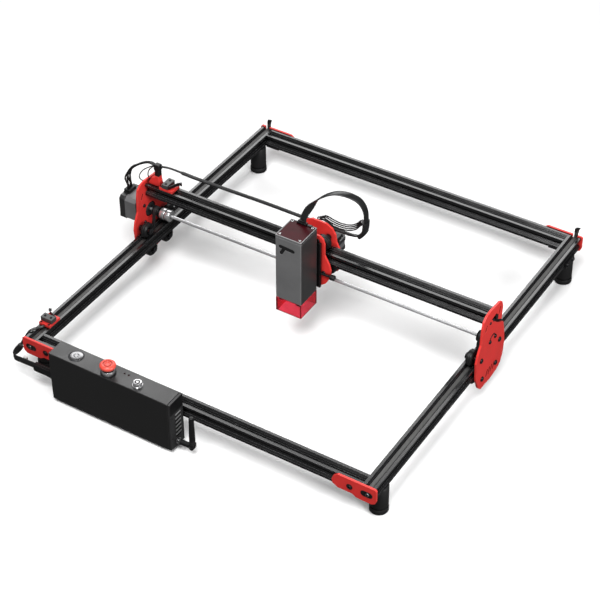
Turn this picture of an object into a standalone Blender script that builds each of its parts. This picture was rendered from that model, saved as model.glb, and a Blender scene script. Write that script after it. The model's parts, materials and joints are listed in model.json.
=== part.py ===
"""Open-frame laser engraver with a moving gantry, a carriage and a laser head.

All sizes are millimetres measured from the middle of the frame at floor level;
the builders below turn them into metres and move the origin to the middle of
the whole object's footprint.
"""
import math

import bmesh
import bpy
from mathutils import Matrix, Vector

MM = 0.001
GAP = 0.3

# Driving dimensions of the frame
FRAME_WIDTH = 580.0
FRAME_DEPTH = 630.0
RAIL_TOP = 67.0
PROFILE = 20.0
SHEET = 3.0

# Where the origin sits, from the middle of the frame
ORIGIN_X = -20.15
ORIGIN_Y = -13.0

# Places worked out from the frame
HALF_WIDTH = FRAME_WIDTH / 2
HALF_DEPTH = FRAME_DEPTH / 2
RAIL_X = HALF_WIDTH - PROFILE / 2
RAIL_Z = RAIL_TOP - PROFILE / 2
RAIL_BOTTOM = RAIL_TOP - PROFILE
WHEEL_OFFSET = 19.6
WHEEL_RADIUS = 12.2
WHEEL_HALF = 5.1
AXLE_RADIUS = 2.5

# Gantry
GANTRY_Z = 137.0
GANTRY_TOP = GANTRY_Z + PROFILE / 2
PLATE_X = HALF_WIDTH + 2.0
UPPER_WHEEL_Y = 28.0
LOWER_WHEEL_Y = 21.0
SHAFT_Z = 95.0
SHAFT_RADIUS = 2.5
MOTOR_SIZE = 42.3

# Carriage and laser head
CARRIAGE_X = 1.5
CARRIAGE_SHEET_Y = 15.3
UPPER_ROLLER_X = 17.0
LOWER_ROLLER_X = 28.0
PULLEY_Y = 40.0
DOVETAIL_BACK_Y = -(CARRIAGE_SHEET_Y + SHEET + GAP)
HEAD_BOTTOM = 62.0
HEAD_TOP = 200.5
HEAD_WIDTH = 43.0
HEAD_FRONT_Y = -69.0
HEAD_BACK_Y = -25.2
SHIELD_HEIGHT = 24.0
CABLE_RADIUS = 2.6

# Control box
BOX_LEFT = -221.5
BOX_RIGHT = -15.0
BOX_BACK = -(HALF_DEPTH + GAP)
BOX_FRONT = BOX_BACK - 31.5
BOX_BOTTOM = 6.0
BOX_TOP = 91.0
BOX_WALL = 2.0
BOX_Y = (BOX_BACK + BOX_FRONT) / 2

# Finishes: colour, roughness, metallic
BLACK_ANODISED = ((0.035, 0.036, 0.04, 1), 0.42, 0.6)
RED_PAINT = ((0.72, 0.025, 0.018, 1), 0.42, 0.3)
BLACK_RUBBER = ((0.02, 0.02, 0.02, 1), 0.7, 0.0)
BLACK_PLASTIC = ((0.03, 0.03, 0.032, 1), 0.5, 0.0)
GREY_ANODISED = ((0.16, 0.16, 0.165, 1), 0.4, 0.7)
DARK_RED = ((0.12, 0.01, 0.012, 1), 0.35, 0.2)
STEEL = ((0.6, 0.6, 0.62, 1), 0.25, 1.0)
RED_ACRYLIC = ((0.5, 0.02, 0.03, 1), 0.15, 0.0)
RED_PLASTIC = ((0.75, 0.06, 0.05, 1), 0.35, 0.0)
GREY_PLASTIC = ((0.22, 0.22, 0.22, 1), 0.5, 0.0)

AXES = {
    "X": Matrix(((0, 0, 1), (1, 0, 0), (0, 1, 0))),
    "Y": Matrix(((1, 0, 0), (0, 0, 1), (0, 1, 0))),
    "Z": Matrix.Identity(3),
}


def clear_scene():
    for item in list(bpy.data.objects):
        bpy.data.objects.remove(item, do_unlink=True)


def finish_material(name, finish):
    colour, roughness, metallic = finish
    material = bpy.data.materials.new(name)
    material.use_nodes = True
    shader = material.node_tree.nodes["Principled BSDF"]
    shader.inputs["Base Color"].default_value = colour
    shader.inputs["Roughness"].default_value = roughness
    shader.inputs["Metallic"].default_value = metallic
    material.diffuse_color = colour
    return material


def world(point):
    x, y, z = point
    return Vector((x - ORIGIN_X, y - ORIGIN_Y, z)) * MM


def place(name, data, pivot, finish):
    """Put object data built round a pivot into the scene."""
    item = bpy.data.objects.new(name, data)
    bpy.context.collection.objects.link(item)
    item.location = world(pivot)
    data.materials.append(finish_material(name, finish))
    return item


def node(name, mesh, finish, pivot=(0, 0, 0), smooth=False):
    """Turn a bmesh in frame millimetres into an object with its origin at the pivot."""
    bmesh.ops.recalc_face_normals(mesh, faces=mesh.faces)
    for vert in mesh.verts:
        vert.co = (vert.co - Vector(pivot)) * MM
    for face in mesh.faces:
        face.smooth = smooth
    data = bpy.data.meshes.new(name)
    mesh.to_mesh(data)
    mesh.free()
    item = place(name, data, pivot, finish)
    if smooth:
        data.set_sharp_from_angle(angle=math.radians(35))
    return item


def sheet(outline, low, high, axis, holes=()):
    """Flat outline with holes, as thick as low to high along an axis.

    Outline points are (y, z) for X, (x, z) for Y and (x, y) for Z.
    """
    mesh = bmesh.new()
    edges = []
    for loop in (outline, *holes):
        verts = [mesh.verts.new((u, v, low)) for u, v in loop]
        edges += [mesh.edges.new((verts[i - 1], verts[i])) for i in range(len(verts))]
    if holes:
        bmesh.ops.triangle_fill(mesh, edges=edges, use_beauty=True, use_dissolve=False)
    else:
        mesh.faces.new(mesh.verts)
    grown = bmesh.ops.extrude_face_region(mesh, geom=mesh.faces[:])
    top = [part for part in grown["geom"] if isinstance(part, bmesh.types.BMVert)]
    bmesh.ops.translate(mesh, verts=top, vec=(0, 0, high - low))
    bmesh.ops.transform(mesh, matrix=AXES[axis].to_4x4(), verts=mesh.verts)
    return mesh


def block(x_low, x_high, y_low, y_high, z_low, z_high, bevel=0.0):
    outline = [(x_low, y_low), (x_high, y_low), (x_high, y_high), (x_low, y_high)]
    mesh = sheet(outline, z_low, z_high, "Z")
    if bevel:
        bmesh.ops.bevel(mesh, geom=mesh.edges[:], offset=bevel, segments=1, affect="EDGES")
    return mesh


def turned(profile, centre, axis, segments=24, ring=False):
    """Solid of revolution from (radius, place along the axis) points.

    A ring's profile is a closed loop clear of the axis.
    """
    mesh = bmesh.new()
    rows = []
    for radius, along in profile:
        if radius == 0:
            rows.append([mesh.verts.new((0, 0, along))])
            continue
        angles = [2 * math.pi * i / segments for i in range(segments)]
        rows.append([mesh.verts.new((radius * math.cos(a), radius * math.sin(a), along))
                     for a in angles])
    pairs = list(zip(rows, rows[1:]))
    if ring:
        pairs.append((rows[-1], rows[0]))
    for lower, upper in pairs:
        for i in range(segments):
            j = (i + 1) % segments
            if len(lower) == 1:
                mesh.faces.new((lower[0], upper[i], upper[j]))
            elif len(upper) == 1:
                mesh.faces.new((lower[i], upper[0], lower[j]))
            else:
                mesh.faces.new((lower[i], lower[j], upper[j], upper[i]))
    bmesh.ops.transform(mesh, matrix=AXES[axis].to_4x4(), verts=mesh.verts)
    bmesh.ops.translate(mesh, verts=mesh.verts, vec=centre)
    return mesh


def rod(radius, low, high, centre, axis, segments=24):
    return turned([(0, low), (radius, low), (radius, high), (0, high)], centre, axis, segments)


def circle(u, v, radius, segments=20):
    return [(u + radius * math.cos(2 * math.pi * i / segments),
             v + radius * math.sin(2 * math.pi * i / segments)) for i in range(segments)]


def slot(u, v, length, width, angle=0.0, segments=6):
    """Round-ended slot centred on (u, v), turned by an angle in degrees."""
    turn = math.radians(angle)
    reach = (length - width) / 2
    points = []
    for side in (1, -1):
        for i in range(segments + 1):
            a = math.pi * i / segments - math.pi / 2
            p = side * (reach + width / 2 * math.cos(a))
            q = side * width / 2 * math.sin(a)
            points.append((u + p * math.cos(turn) - q * math.sin(turn),
                           v + p * math.sin(turn) + q * math.cos(turn)))
    return points


def mirrored(half, centre=0.0):
    """Closed outline from its right half, listed from the top down."""
    right = [(centre + u, v) for u, v in half]
    left = [(centre - u, v) for u, v in reversed(half)]
    return right + left


def combine(item, tools, operation):
    """Apply hidden cutters or additions to an object with exact Booleans."""
    for tool in tools:
        tool.hide_render = True
        tool.display_type = "WIRE"
        change = item.modifiers.new(tool.name, "BOOLEAN")
        change.operation = operation
        change.solver = "EXACT"
        change.object = tool


def tool_object(name, mesh):
    """A cutter: an object that only shapes another one."""
    item = node(name, mesh, BLACK_PLASTIC)
    item.hide_set(True)
    return item


def tube(name, points, radius, finish, closeness, resolution):
    """Cable along a smooth curve through route points in frame millimetres."""
    samples = smooth_route(points, closeness)
    curve = bpy.data.curves.new(name, "CURVE")
    curve.dimensions = "3D"
    curve.bevel_depth = radius * MM
    curve.bevel_resolution = resolution
    curve.render_resolution_u = 0
    curve.use_fill_caps = True
    spline = curve.splines.new("POLY")
    spline.points.add(len(samples) - 1)
    for point, sample in zip(spline.points, samples):
        point.co = (*(world(sample)), 1)
    item = bpy.data.objects.new(name, curve)
    bpy.context.collection.objects.link(item)
    curve.materials.append(finish_material(name, finish))
    return item


def smooth_route(points, spacing):
    """Points a fixed distance apart on a Catmull-Rom curve through the route."""
    knots = [Vector(p) for p in points]
    knots = [2 * knots[0] - knots[1]] + knots + [2 * knots[-1] - knots[-2]]
    fine = []
    for a, b, c, d in zip(knots, knots[1:], knots[2:], knots[3:]):
        for i in range(40):
            t = i / 40
            fine.append(0.5 * (2 * b + (c - a) * t + (2 * a - 5 * b + 4 * c - d) * t ** 2
                               + (3 * b - a - 3 * c + d) * t ** 3))
    fine.append(knots[-2])
    total = sum((q - p).length for p, q in zip(fine, fine[1:]))
    step = total / max(round(total / spacing), 1)
    samples = [fine[0]]
    walked = 0.0
    for p, q in zip(fine, fine[1:]):
        walked += (q - p).length
        if walked >= step * len(samples) - 1e-6 and walked < total - step / 2:
            samples.append(q)
    samples.append(fine[-1])
    return samples


# ---------------------------------------------------------------- frame

def profile_outline(u, v):
    """Section of the slotted profile, centred on (u, v)."""
    half = PROFILE / 2
    mouth, neck, room, floor = 5.9, 3.5, 5.0, 2.9
    side = [(-half, -half), (-mouth, -half), (-neck, 2.4 - half), (-neck, 2.8 - half),
            (-room, 2.8 - half), (-room, 3.8 - half), (-floor, 6.0 - half),
            (floor, 6.0 - half), (room, 3.8 - half), (room, 2.8 - half),
            (neck, 2.8 - half), (neck, 2.4 - half), (mouth, -half)]
    points = []
    for quarter in range(4):
        turn = Matrix.Rotation(quarter * math.pi / 2, 2)
        points += [turn @ Vector(p) for p in side]
    return [(u + p.x, v + p.y) for p in points]


def build_frame():
    cross = HALF_WIDTH - PROFILE - GAP
    for side, x in (("left", -RAIL_X), ("right", RAIL_X)):
        node(f"rail_{side}", sheet(profile_outline(x, RAIL_Z), -HALF_DEPTH, HALF_DEPTH, "Y"),
             BLACK_ANODISED)
    for end, y in (("front", PROFILE / 2 - HALF_DEPTH), ("back", HALF_DEPTH - PROFILE / 2)):
        node(f"beam_{end}", sheet(profile_outline(y, RAIL_Z), -cross, cross, "X"),
             BLACK_ANODISED)


def corner_outline(side, notched):
    """Right-hand corner plate seen from the front; side -1 mirrors it.

    A back plate has a notch in its top edge for the belt's tail.
    """
    notch = [(RAIL_X - 4, 68.5), (RAIL_X - 4, 60.5), (RAIL_X + 4, 60.5), (RAIL_X + 4, 68.5)]
    points = [(234, 68.5), *(notch if notched else []), (290.5, 68.5), (292.8, 66),
              (292.8, 48), (291, 43), (286, 40), (269, 40), (262, 40.8), (256, 44.5),
              (234, 44.5), (226, 49.5), (224.5, 56), (227, 63)]
    return [(side * x, z) for x, z in points]


def build_corners_and_feet():
    foot = [(0, 0), (12.4, 0), (13.4, 1), (13.4, 8), (12.5, 9), (12.5, 10.5),
            (13.1, 11.5), (12.9, RAIL_BOTTOM - GAP), (0, RAIL_BOTTOM - GAP)]
    foot_y = HALF_DEPTH - 29
    for end, way in (("front", -1), ("back", 1)):
        near = HALF_DEPTH + GAP
        low, high = sorted((way * near, way * (near + SHEET)))
        for side, sign in (("left", -1), ("right", 1)):
            holes = [circle(sign * 252, 55, 2.6), slot(sign * 278, 54.5, 15, 6.4)]
            plate = sheet(corner_outline(sign, end == "back"), low, high, "Y", holes)
            node(f"corner_plate_{end}_{side}", plate, RED_PAINT)
            node(f"foot_{end}_{side}", turned(foot, (sign * RAIL_X, way * foot_y, 0), "Z"),
                 BLACK_RUBBER, smooth=True)


def build_rail_belts():
    """Belt strips in the rails' top slots, each with a tail standing up at the back."""
    bottom = RAIL_TOP - 5.4
    thick = 1.4
    front = 1 - HALF_DEPTH
    back = HALF_DEPTH + SHEET + 3
    tail = RAIL_TOP + 10
    outline = [(front, bottom), (back, bottom), (back, tail), (back - thick, tail),
               (back - thick, bottom + thick), (front, bottom + thick)]
    for side, x in (("left", -RAIL_X), ("right", RAIL_X)):
        node(f"y_belt_{side}", sheet(outline, x - 3, x + 3, "X"), BLACK_RUBBER)


# ---------------------------------------------------------------- control box

STOP_X = -125.0
STOP_Y = -335.4
STOP_TRAVEL = 4.5
POWER_X = -183.5
START_X = -76.0
START_Y = -334.5
LAMP_Y = -324.8
AERIAL_Y = -332.0
AERIAL_Z = 15.0
AERIAL_X = 10.0


def build_control_box():
    shell_end = BOX_RIGHT - SHEET - GAP
    shell = node("control_box", block(BOX_LEFT, shell_end, BOX_FRONT, BOX_BACK,
                                      BOX_BOTTOM, BOX_TOP, 0.8), BLACK_ANODISED)
    hollow = block(BOX_LEFT + BOX_WALL, BOX_RIGHT, BOX_FRONT + BOX_WALL, BOX_BACK - BOX_WALL,
                   BOX_BOTTOM + BOX_WALL, BOX_TOP - BOX_WALL)
    wells = {
        "power_well": rod(10.2, BOX_TOP - 5, BOX_TOP + 5, (POWER_X, BOX_Y, 0), "Z"),
        "start_well": rod(6.6, BOX_TOP - 5, BOX_TOP + 5, (START_X, START_Y, 0), "Z"),
        "lamp_well_1": rod(1.6, BOX_TOP - 5, BOX_TOP + 5, (START_X - 29, LAMP_Y, 0), "Z", 12),
        "lamp_well_2": rod(1.6, BOX_TOP - 5, BOX_TOP + 5, (START_X - 22, LAMP_Y, 0), "Z", 12),
    }
    cutters = [tool_object("box_hollow", hollow)]
    cutters += [tool_object(name, mesh) for name, mesh in wells.items()]
    combine(shell, cutters, "DIFFERENCE")

    face = [(BOX_FRONT + 0.4, BOX_BOTTOM + 0.4), (BOX_BACK - 0.4, BOX_BOTTOM + 0.4),
            (BOX_BACK - 0.4, BOX_TOP - 0.4), (BOX_FRONT + 0.4, BOX_TOP - 0.4)]
    vents = [slot(BOX_Y + 2.8, 24 + 7.3 * i, 13.5, 3.0) for i in range(6)]
    end = node("control_box_end", sheet(face, BOX_RIGHT - SHEET, BOX_RIGHT, "X", vents),
               BLACK_ANODISED)
    boss = rod(4.8, BOX_RIGHT - 1, BOX_RIGHT + 6, (0, AERIAL_Y, AERIAL_Z), "X", 18)
    combine(end, [tool_object("aerial_boss", boss)], "UNION")


def build_buttons():
    neck = 6.0
    base = [(0, 0), (11.1, 0), (11.1, 2.2), (9.6, 2.8), (9.2, neck), (0, neck)]
    node("estop_base", turned(base, (STOP_X, STOP_Y, BOX_TOP + GAP), "Z"), BLACK_PLASTIC,
         smooth=True)
    head_bottom = BOX_TOP + GAP + neck + STOP_TRAVEL
    head = [(0, 0), (10.7, 0), (11.6, 1.1), (11.6, 3.8), (10.4, 5.7), (7.5, 6.4), (6.4, 5.9),
            (0, 5.9)]
    node("estop_head", turned(head, (STOP_X, STOP_Y, head_bottom), "Z"), RED_PLASTIC,
         (STOP_X, STOP_Y, head_bottom), smooth=True)
    power = [(0, -4), (9.7, -4), (9.7, 0.5), (9.1, 1.1), (0, 1.1)]
    node("power_button", turned(power, (POWER_X, BOX_Y, BOX_TOP), "Z"), STEEL,
         (POWER_X, BOX_Y, BOX_TOP), smooth=True)
    start = [(0, -4), (6.2, -4), (6.2, 5.2), (5.6, 6), (0, 6)]
    node("start_button", turned(start, (START_X, START_Y, BOX_TOP), "Z"), STEEL,
         (START_X, START_Y, BOX_TOP), smooth=True)


def build_aerial():
    pivot = (AERIAL_X, AERIAL_Y, AERIAL_Z)
    neck = rod(4.0, BOX_RIGHT + 6.4, AERIAL_X - 5.5, (0, AERIAL_Y, AERIAL_Z), "X", 18)
    elbow = node("aerial_elbow", neck, BLACK_PLASTIC, (BOX_RIGHT, AERIAL_Y, AERIAL_Z),
                 smooth=True)
    tongue = [(AERIAL_X - 8, AERIAL_Z - 3.9), (AERIAL_X - 8, AERIAL_Z + 3.9)]
    tongue += [(AERIAL_X + 3.9 * math.sin(a), AERIAL_Z + 3.9 * math.cos(a))
               for a in (math.pi * i / 8 for i in range(9))]
    tongue = sheet(tongue, AERIAL_Y - 1.5, AERIAL_Y + 1.5, "Y")
    combine(elbow, [tool_object("elbow_tongue", tongue)], "UNION")

    whip = [(0, 5.2), (4.4, 5.2), (4.4, 20), (3.5, 54), (2.6, 55), (0, 55)]
    mast = node("aerial_whip", turned(whip, pivot, "Z", 18), BLACK_PLASTIC, pivot, smooth=True)
    cheeks = []
    for side in (-1, 1):
        edges = sorted((AERIAL_Y + side * 1.9, AERIAL_Y + side * 4.2))
        cheek = [(AERIAL_X - 3.6, AERIAL_Z + 7), (AERIAL_X + 3.6, AERIAL_Z + 7)]
        cheek += [(AERIAL_X + 3.6 * math.cos(a), AERIAL_Z - 3.6 * math.sin(a))
                  for a in (math.pi * i / 8 for i in range(9))]
        cheeks.append(tool_object(f"whip_cheek_{side + 1}", sheet(cheek, *edges, "Y")))
    combine(mast, cheeks, "UNION")


def build_box_cable():
    route = [(BOX_LEFT - GAP, BOX_Y, 38), (-245, BOX_Y, 37.5), (-270, BOX_Y, 36),
             (-291, BOX_Y + 0.5, 34.5), (-301, BOX_Y + 1.5, 33.5), (-305, BOX_Y + 5, 34.5),
             (-303, BOX_Y + 8.5, 38), (-299, BOX_Y + 11, 44), (-296.5, -317.5, 53),
             (-295.6, -314.5, 62), (-292.5, -310.5, 69.5), (-286.5, -304.5, 71),
             (-282, -297, 69.8), (-280.5, -290, 69.5), (-280, -284.5, 69.4)]
    tube("box_cable", route, 1.9, BLACK_RUBBER, 7, 2)


# ---------------------------------------------------------------- gantry

def side_plate_outline():
    """(y, z) outline of a gantry side plate, with its claw-shaped top."""
    return [(-23, 19), (-31, 27), (-39.5, 47), (-42.5, 80), (-39, 93), (-31.5, 107),
            (-30.5, 135), (-28, 146), (-21, 152), (-9, 154), (10, 152), (19, 151.5),
            (27, 147), (31, 137), (30, 113), (16.5, 122), (11.5, 137), (-3.5, 135),
            (16, 116.5), (37, 103), (42, 87), (46.5, 61), (44, 38), (38, 25.5), (30, 20.5),
            (8, 17)]


def axle(y, z, side):
    """Axle bolt with its spacer, standing inwards from a side plate."""
    inner = PLATE_X + 0.5
    profile = [(0, 0), (4.2, 0), (4.2, -(inner - RAIL_X - WHEEL_HALF - 0.6)),
               (AXLE_RADIUS, -(inner - RAIL_X - WHEEL_HALF - 0.6)),
               (AXLE_RADIUS, -(inner - RAIL_X + WHEEL_HALF + 0.6)),
               (3.9, -(inner - RAIL_X + WHEEL_HALF + 0.6)),
               (3.9, -(inner - RAIL_X + WHEEL_HALF + 3.4)), (0, -(inner - RAIL_X + WHEEL_HALF + 3.4))]
    placed = [(radius, side * along) for radius, along in profile]
    return turned(placed, (side * inner, y, z), "X", 12)


def wheel_places():
    upper = RAIL_Z + WHEEL_OFFSET
    lower = RAIL_Z - WHEEL_OFFSET
    return {"upper_front": (-UPPER_WHEEL_Y, upper), "upper_back": (UPPER_WHEEL_Y, upper),
            "lower_front": (-LOWER_WHEEL_Y, lower), "lower_back": (LOWER_WHEEL_Y, lower)}


def wheel_profile():
    taper = WHEEL_RADIUS - (WHEEL_HALF - 2.95)
    return [(AXLE_RADIUS + 0.4, -4.3), (7.6, -4.3), (7.6, -WHEEL_HALF), (taper, -WHEEL_HALF),
            (WHEEL_RADIUS, -2.95), (WHEEL_RADIUS, 2.95), (taper, WHEEL_HALF),
            (7.6, WHEEL_HALF), (7.6, 4.3), (AXLE_RADIUS + 0.4, 4.3)]


def build_gantry_frame():
    reach = PLATE_X - GAP
    node("gantry_beam", sheet(profile_outline(0, GANTRY_Z), -reach, reach, "X"),
         BLACK_ANODISED)
    for side, sign in (("left", -1), ("right", 1)):
        holes = [slot(-5.5 + 6.8 * i, 37, 13, 3.4, 70) for i in range(4)]
        holes += [slot(-19, 129, 11, 3.2, 62), slot(21.5, 135, 13, 5, 80)]
        if side == "left":
            holes.append(circle(0, SHAFT_Z, 12.5, 28))
        low, high = sorted((sign * PLATE_X, sign * (PLATE_X + SHEET)))
        plate = node(f"gantry_plate_{side}",
                     sheet(side_plate_outline(), low, high, "X", holes), RED_PAINT)
        axles = [tool_object(f"axle_{side}_{place_name}", axle(y, z, sign))
                 for place_name, (y, z) in wheel_places().items()]
        combine(plate, axles, "UNION")
        for place_name, (y, z) in wheel_places().items():
            centre = (sign * RAIL_X, y, z)
            node(f"y_wheel_{side}_{place_name}",
                 turned(wheel_profile(), centre, "X", 20, ring=True), BLACK_PLASTIC, centre,
                 smooth=True)


def build_gantry_drive():
    motor_back = PLATE_X + SHEET + GAP + 40
    half = MOTOR_SIZE / 2
    body = sheet([(y, SHAFT_Z + z) for y, z in chamfered_square(half, 4)],
                 -motor_back, -(PLATE_X + SHEET + GAP), "X")
    motor = node("y_motor", body, BLACK_PLASTIC)
    boss = rod(11, -(PLATE_X + SHEET + 1), -(PLATE_X + 0.5), (0, 0, SHAFT_Z), "X", 28)
    combine(motor, [tool_object("motor_boss", boss)], "UNION")

    axis = (0, 0, SHAFT_Z)
    bore = SHAFT_RADIUS + GAP
    coupler = [(bore, -270.5), (8.4, -270.5), (9.0, -269.9), (9.0, -262.7), (8.1, -262.2),
               (8.1, -261.2), (9.0, -260.7), (9.0, -253.6), (8.4, -253), (bore, -253)]
    node("shaft_coupler", turned(coupler, axis, "X", ring=True), STEEL, axis, smooth=True)
    shaft = [(0, -RAIL_X - 11), (SHAFT_RADIUS, -RAIL_X - 11)]
    shaft += pulley_profile(-RAIL_X, SHAFT_RADIUS) + pulley_profile(RAIL_X, SHAFT_RADIUS)
    shaft += [(SHAFT_RADIUS, RAIL_X + 9), (0, RAIL_X + 9)]
    node("sync_shaft", turned(shaft, axis, "X", 20), STEEL, axis, smooth=True)


def chamfered_square(half, cut):
    inner = half - cut
    return [(-inner, -half), (inner, -half), (half, -inner), (half, inner),
            (inner, half), (-inner, half), (-half, inner), (-half, -inner)]


def pulley_profile(along, hub):
    """Flanged pulley centred at a place along its axis, rising from a hub radius."""
    steps = [(hub, -5.2), (8.2, -5.2), (8.2, -4.2), (6.4, -4.2), (6.4, 4.2), (8.2, 4.2),
             (8.2, 5.2), (hub, 5.2)]
    return [(radius, along + step) for radius, step in steps]


def limit_switch(name, corner, along):
    """Mount, switch block and lever; along is 'X' or 'Y', the way the block is long."""
    x, y, z = corner
    turn = {"Y": Matrix.Identity(3), "X": Matrix(((0, -1, 0), (1, 0, 0), (0, 0, 1)))}[along]

    def built(outline, low, high):
        points = [turn @ Vector((u, v, 0)) for u, v in outline]
        return sheet([(x + p.x, y + p.y) for p in points], z + low, z + high, "Z")

    base = [(-12, -9.8), (12, -9.8), (12, 9.8), (-12, 9.8)]
    node(f"{name}_mount", built(base, GAP, 4.6), RED_PAINT)
    block_outline = [(-7, -9.9), (3.5, -9.9), (3.5, 9.9), (-7, 9.9)]
    node(f"{name}_switch", built(block_outline, 4.9, 11.6), GREY_PLASTIC)
    hinge = turn @ Vector((4.4, -8.6, 0))
    pivot = (x + hinge.x, y + hinge.y, z + 8)
    blade = [(4, -9), (4.8, -9), (11.5, 6.5), (14.6, 9.2), (16.6, 8.2), (17.2, 9),
             (14.6, 10.6), (10.4, 7.6)]
    node(f"{name}_lever", built(blade, 5.6, 10.4), STEEL, pivot)


def build_fittings():
    limit_switch("y_limit", (-RAIL_X, -271, RAIL_TOP), "X")
    limit_switch("x_limit", (-254, 0.3, GANTRY_TOP), "Y")
    bracket = [(-289, GAP), (-267.5, GAP), (-267.5, 3), (-269.5, 13), (-269.5, 16), (-268.6, 18),
               (-268.6, 37.5), (-277.4, 37.5), (-277.4, 18), (-276.5, 16), (-283, 13),
               (-288, 3.5), (-289, 3)]
    bracket = [(x, GANTRY_TOP + z) for x, z in bracket]
    node("cable_bracket", sheet(bracket, -4.5, 4.5, "Y"), RED_PAINT)
    slot_floor = PROFILE / 2 - 5.4
    ends = PLATE_X - 1
    node("x_belt", block(-ends, ends, slot_floor, slot_floor + 1.4, GANTRY_Z - 3, GANTRY_Z + 3),
         BLACK_RUBBER)


def build_cables():
    join_x = CARRIAGE_X + 38
    height = 165.0
    loom = [(-267, 0.8, 182.4), (-261, 2.2, 183), (-254, 5, 181.8), (-241, 11, 176.5),
            (-220, 17, 170.5), (-190, 21.5, 166.8), (-159, 24, 165.3), (-100, 26, height),
            (-38, 26, height), (0, 26, height), (join_x - GAP, 26, height)]
    tube("cable_loom", loom, CABLE_RADIUS, BLACK_RUBBER, 13, 2)
    loop = [(join_x, 26, height), (50, 26, 165.5), (62, 26, 168.5), (70, 26, 176.5),
            (74, 25, 192), (75.5, 23, 210), (74, 20, 226), (68, 16, 239), (57.5, 11, 246.5),
            (47, 6, 250), (36, 1, 250), (24.5, -5, 245.5), (13.5, -11, 236.5),
            (5.5, -17, 224), (0.5, -21.5, 213), (-2, -26, 204)]
    tube("head_loop", loop, CABLE_RADIUS, BLACK_RUBBER, 13, 2)


# ---------------------------------------------------------------- carriage

def build_carriage_plates():
    inner = CARRIAGE_SHEET_Y
    front = mirrored([(21, 181), (27, 177), (30, 168), (30, 149), (38, 134), (40.5, 125),
                      (40, 113), (33, 99), (26, 93)], CARRIAGE_X)
    node("carriage_front_plate", sheet(front, -inner - SHEET, -inner, "Y"), RED_PAINT)

    back = mirrored([(12, 178), (22, 172.5), (28, 163), (30, 150), (38, 134), (40.5, 125),
                     (40, 113), (33, 99), (26, 95)], CARRIAGE_X)
    window = [(CARRIAGE_X + u, GANTRY_Z + v) for u, v in ((-15, -6), (15, -6), (15, 6), (-15, 6))]
    plate = node("carriage_back_plate", sheet(back, inner, inner + SHEET, "Y", [window]),
                 RED_PAINT)
    stubs = []
    for place_name, (x, z) in roller_places().items():
        profile = [(0, 1), (4.2, 1), (4.2, 6 - inner), (AXLE_RADIUS, 6 - inner),
                   (AXLE_RADIUS, -inner - 6), (4.2, -inner - 6), (4.2, 0.4 - 2 * inner),
                   (0, 0.4 - 2 * inner)]
        stubs.append(tool_object(f"stub_{place_name}",
                                 turned(profile, (x, inner, z), "Y", 16)))
    combine(plate, stubs, "UNION")


def roller_places():
    upper = GANTRY_Z + WHEEL_OFFSET
    lower = GANTRY_Z - WHEEL_OFFSET
    return {"upper_left": (CARRIAGE_X - UPPER_ROLLER_X, upper),
            "upper_right": (CARRIAGE_X + UPPER_ROLLER_X, upper),
            "lower_left": (CARRIAGE_X - LOWER_ROLLER_X, lower),
            "lower_right": (CARRIAGE_X + LOWER_ROLLER_X, lower)}


def build_carriage_parts():
    for place_name, (x, z) in roller_places().items():
        node(f"x_wheel_{place_name}", turned(wheel_profile(), (x, 0, z), "Y", 20, ring=True),
             BLACK_PLASTIC, (x, 0, z), smooth=True)
    half = MOTOR_SIZE / 2
    centre_y = CARRIAGE_SHEET_Y + SHEET + GAP + half
    square = [(CARRIAGE_X + x, centre_y + y) for x, y in chamfered_square(half, 4)]
    node("x_motor", sheet(square, GANTRY_Z - 28, GANTRY_Z - 5.6, "Z"), BLACK_PLASTIC)
    hub = (CARRIAGE_X, centre_y, GANTRY_Z)
    node("x_pulley", turned(pulley_profile(0, 0), hub, "Z"), STEEL, hub, smooth=True)

    bar = mirrored([(25, 170), (25, 90)], CARRIAGE_X)
    node("dovetail_bar", sheet(bar, DOVETAIL_BACK_Y - 3.6, DOVETAIL_BACK_Y, "Y"),
         BLACK_ANODISED)


def build_laser_head():
    left = CARRIAGE_X - HEAD_WIDTH / 2
    right = CARRIAGE_X + HEAD_WIDTH / 2
    body_low = HEAD_BOTTOM + SHIELD_HEIGHT + GAP
    body_high = HEAD_TOP - 3 - GAP
    body = node("laser_body", block(left, right, HEAD_FRONT_Y, HEAD_BACK_Y, body_low,
                                    body_high, 0.8), GREY_ANODISED)
    shoe = mirrored([(14, 168), (14, 98)], CARRIAGE_X)
    shoe = sheet(shoe, HEAD_BACK_Y - 1, DOVETAIL_BACK_Y - 3.6 - GAP, "Y")
    combine(body, [tool_object("head_shoe", shoe)], "UNION")
    recess = sheet(slot(left + 19, body_high - 16, 27, 6.4, -4), HEAD_FRONT_Y - 5,
                   HEAD_FRONT_Y + 1.6, "Y")
    notch = sheet(slot(left + 12, body_high - 22, 15, 5.4, 62), HEAD_FRONT_Y - 5,
                  HEAD_FRONT_Y + 1.6, "Y")
    combine(body, [tool_object("window_slot", recess), tool_object("window_notch", notch)],
            "DIFFERENCE")

    node("laser_cover", block(left, right, HEAD_FRONT_Y, HEAD_BACK_Y, HEAD_TOP - 3, HEAD_TOP,
                              0.7), DARK_RED)
    wall = 2.6
    outer = [(left, HEAD_FRONT_Y), (right, HEAD_FRONT_Y), (right, HEAD_BACK_Y),
             (left, HEAD_BACK_Y)]
    inner = [(left + wall, HEAD_FRONT_Y + wall), (right - wall, HEAD_FRONT_Y + wall),
             (right - wall, HEAD_BACK_Y - wall), (left + wall, HEAD_BACK_Y - wall)]
    node("laser_shield", sheet(outer, HEAD_BOTTOM, HEAD_BOTTOM + SHIELD_HEIGHT, "Z", [inner]),
         RED_ACRYLIC)


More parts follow.
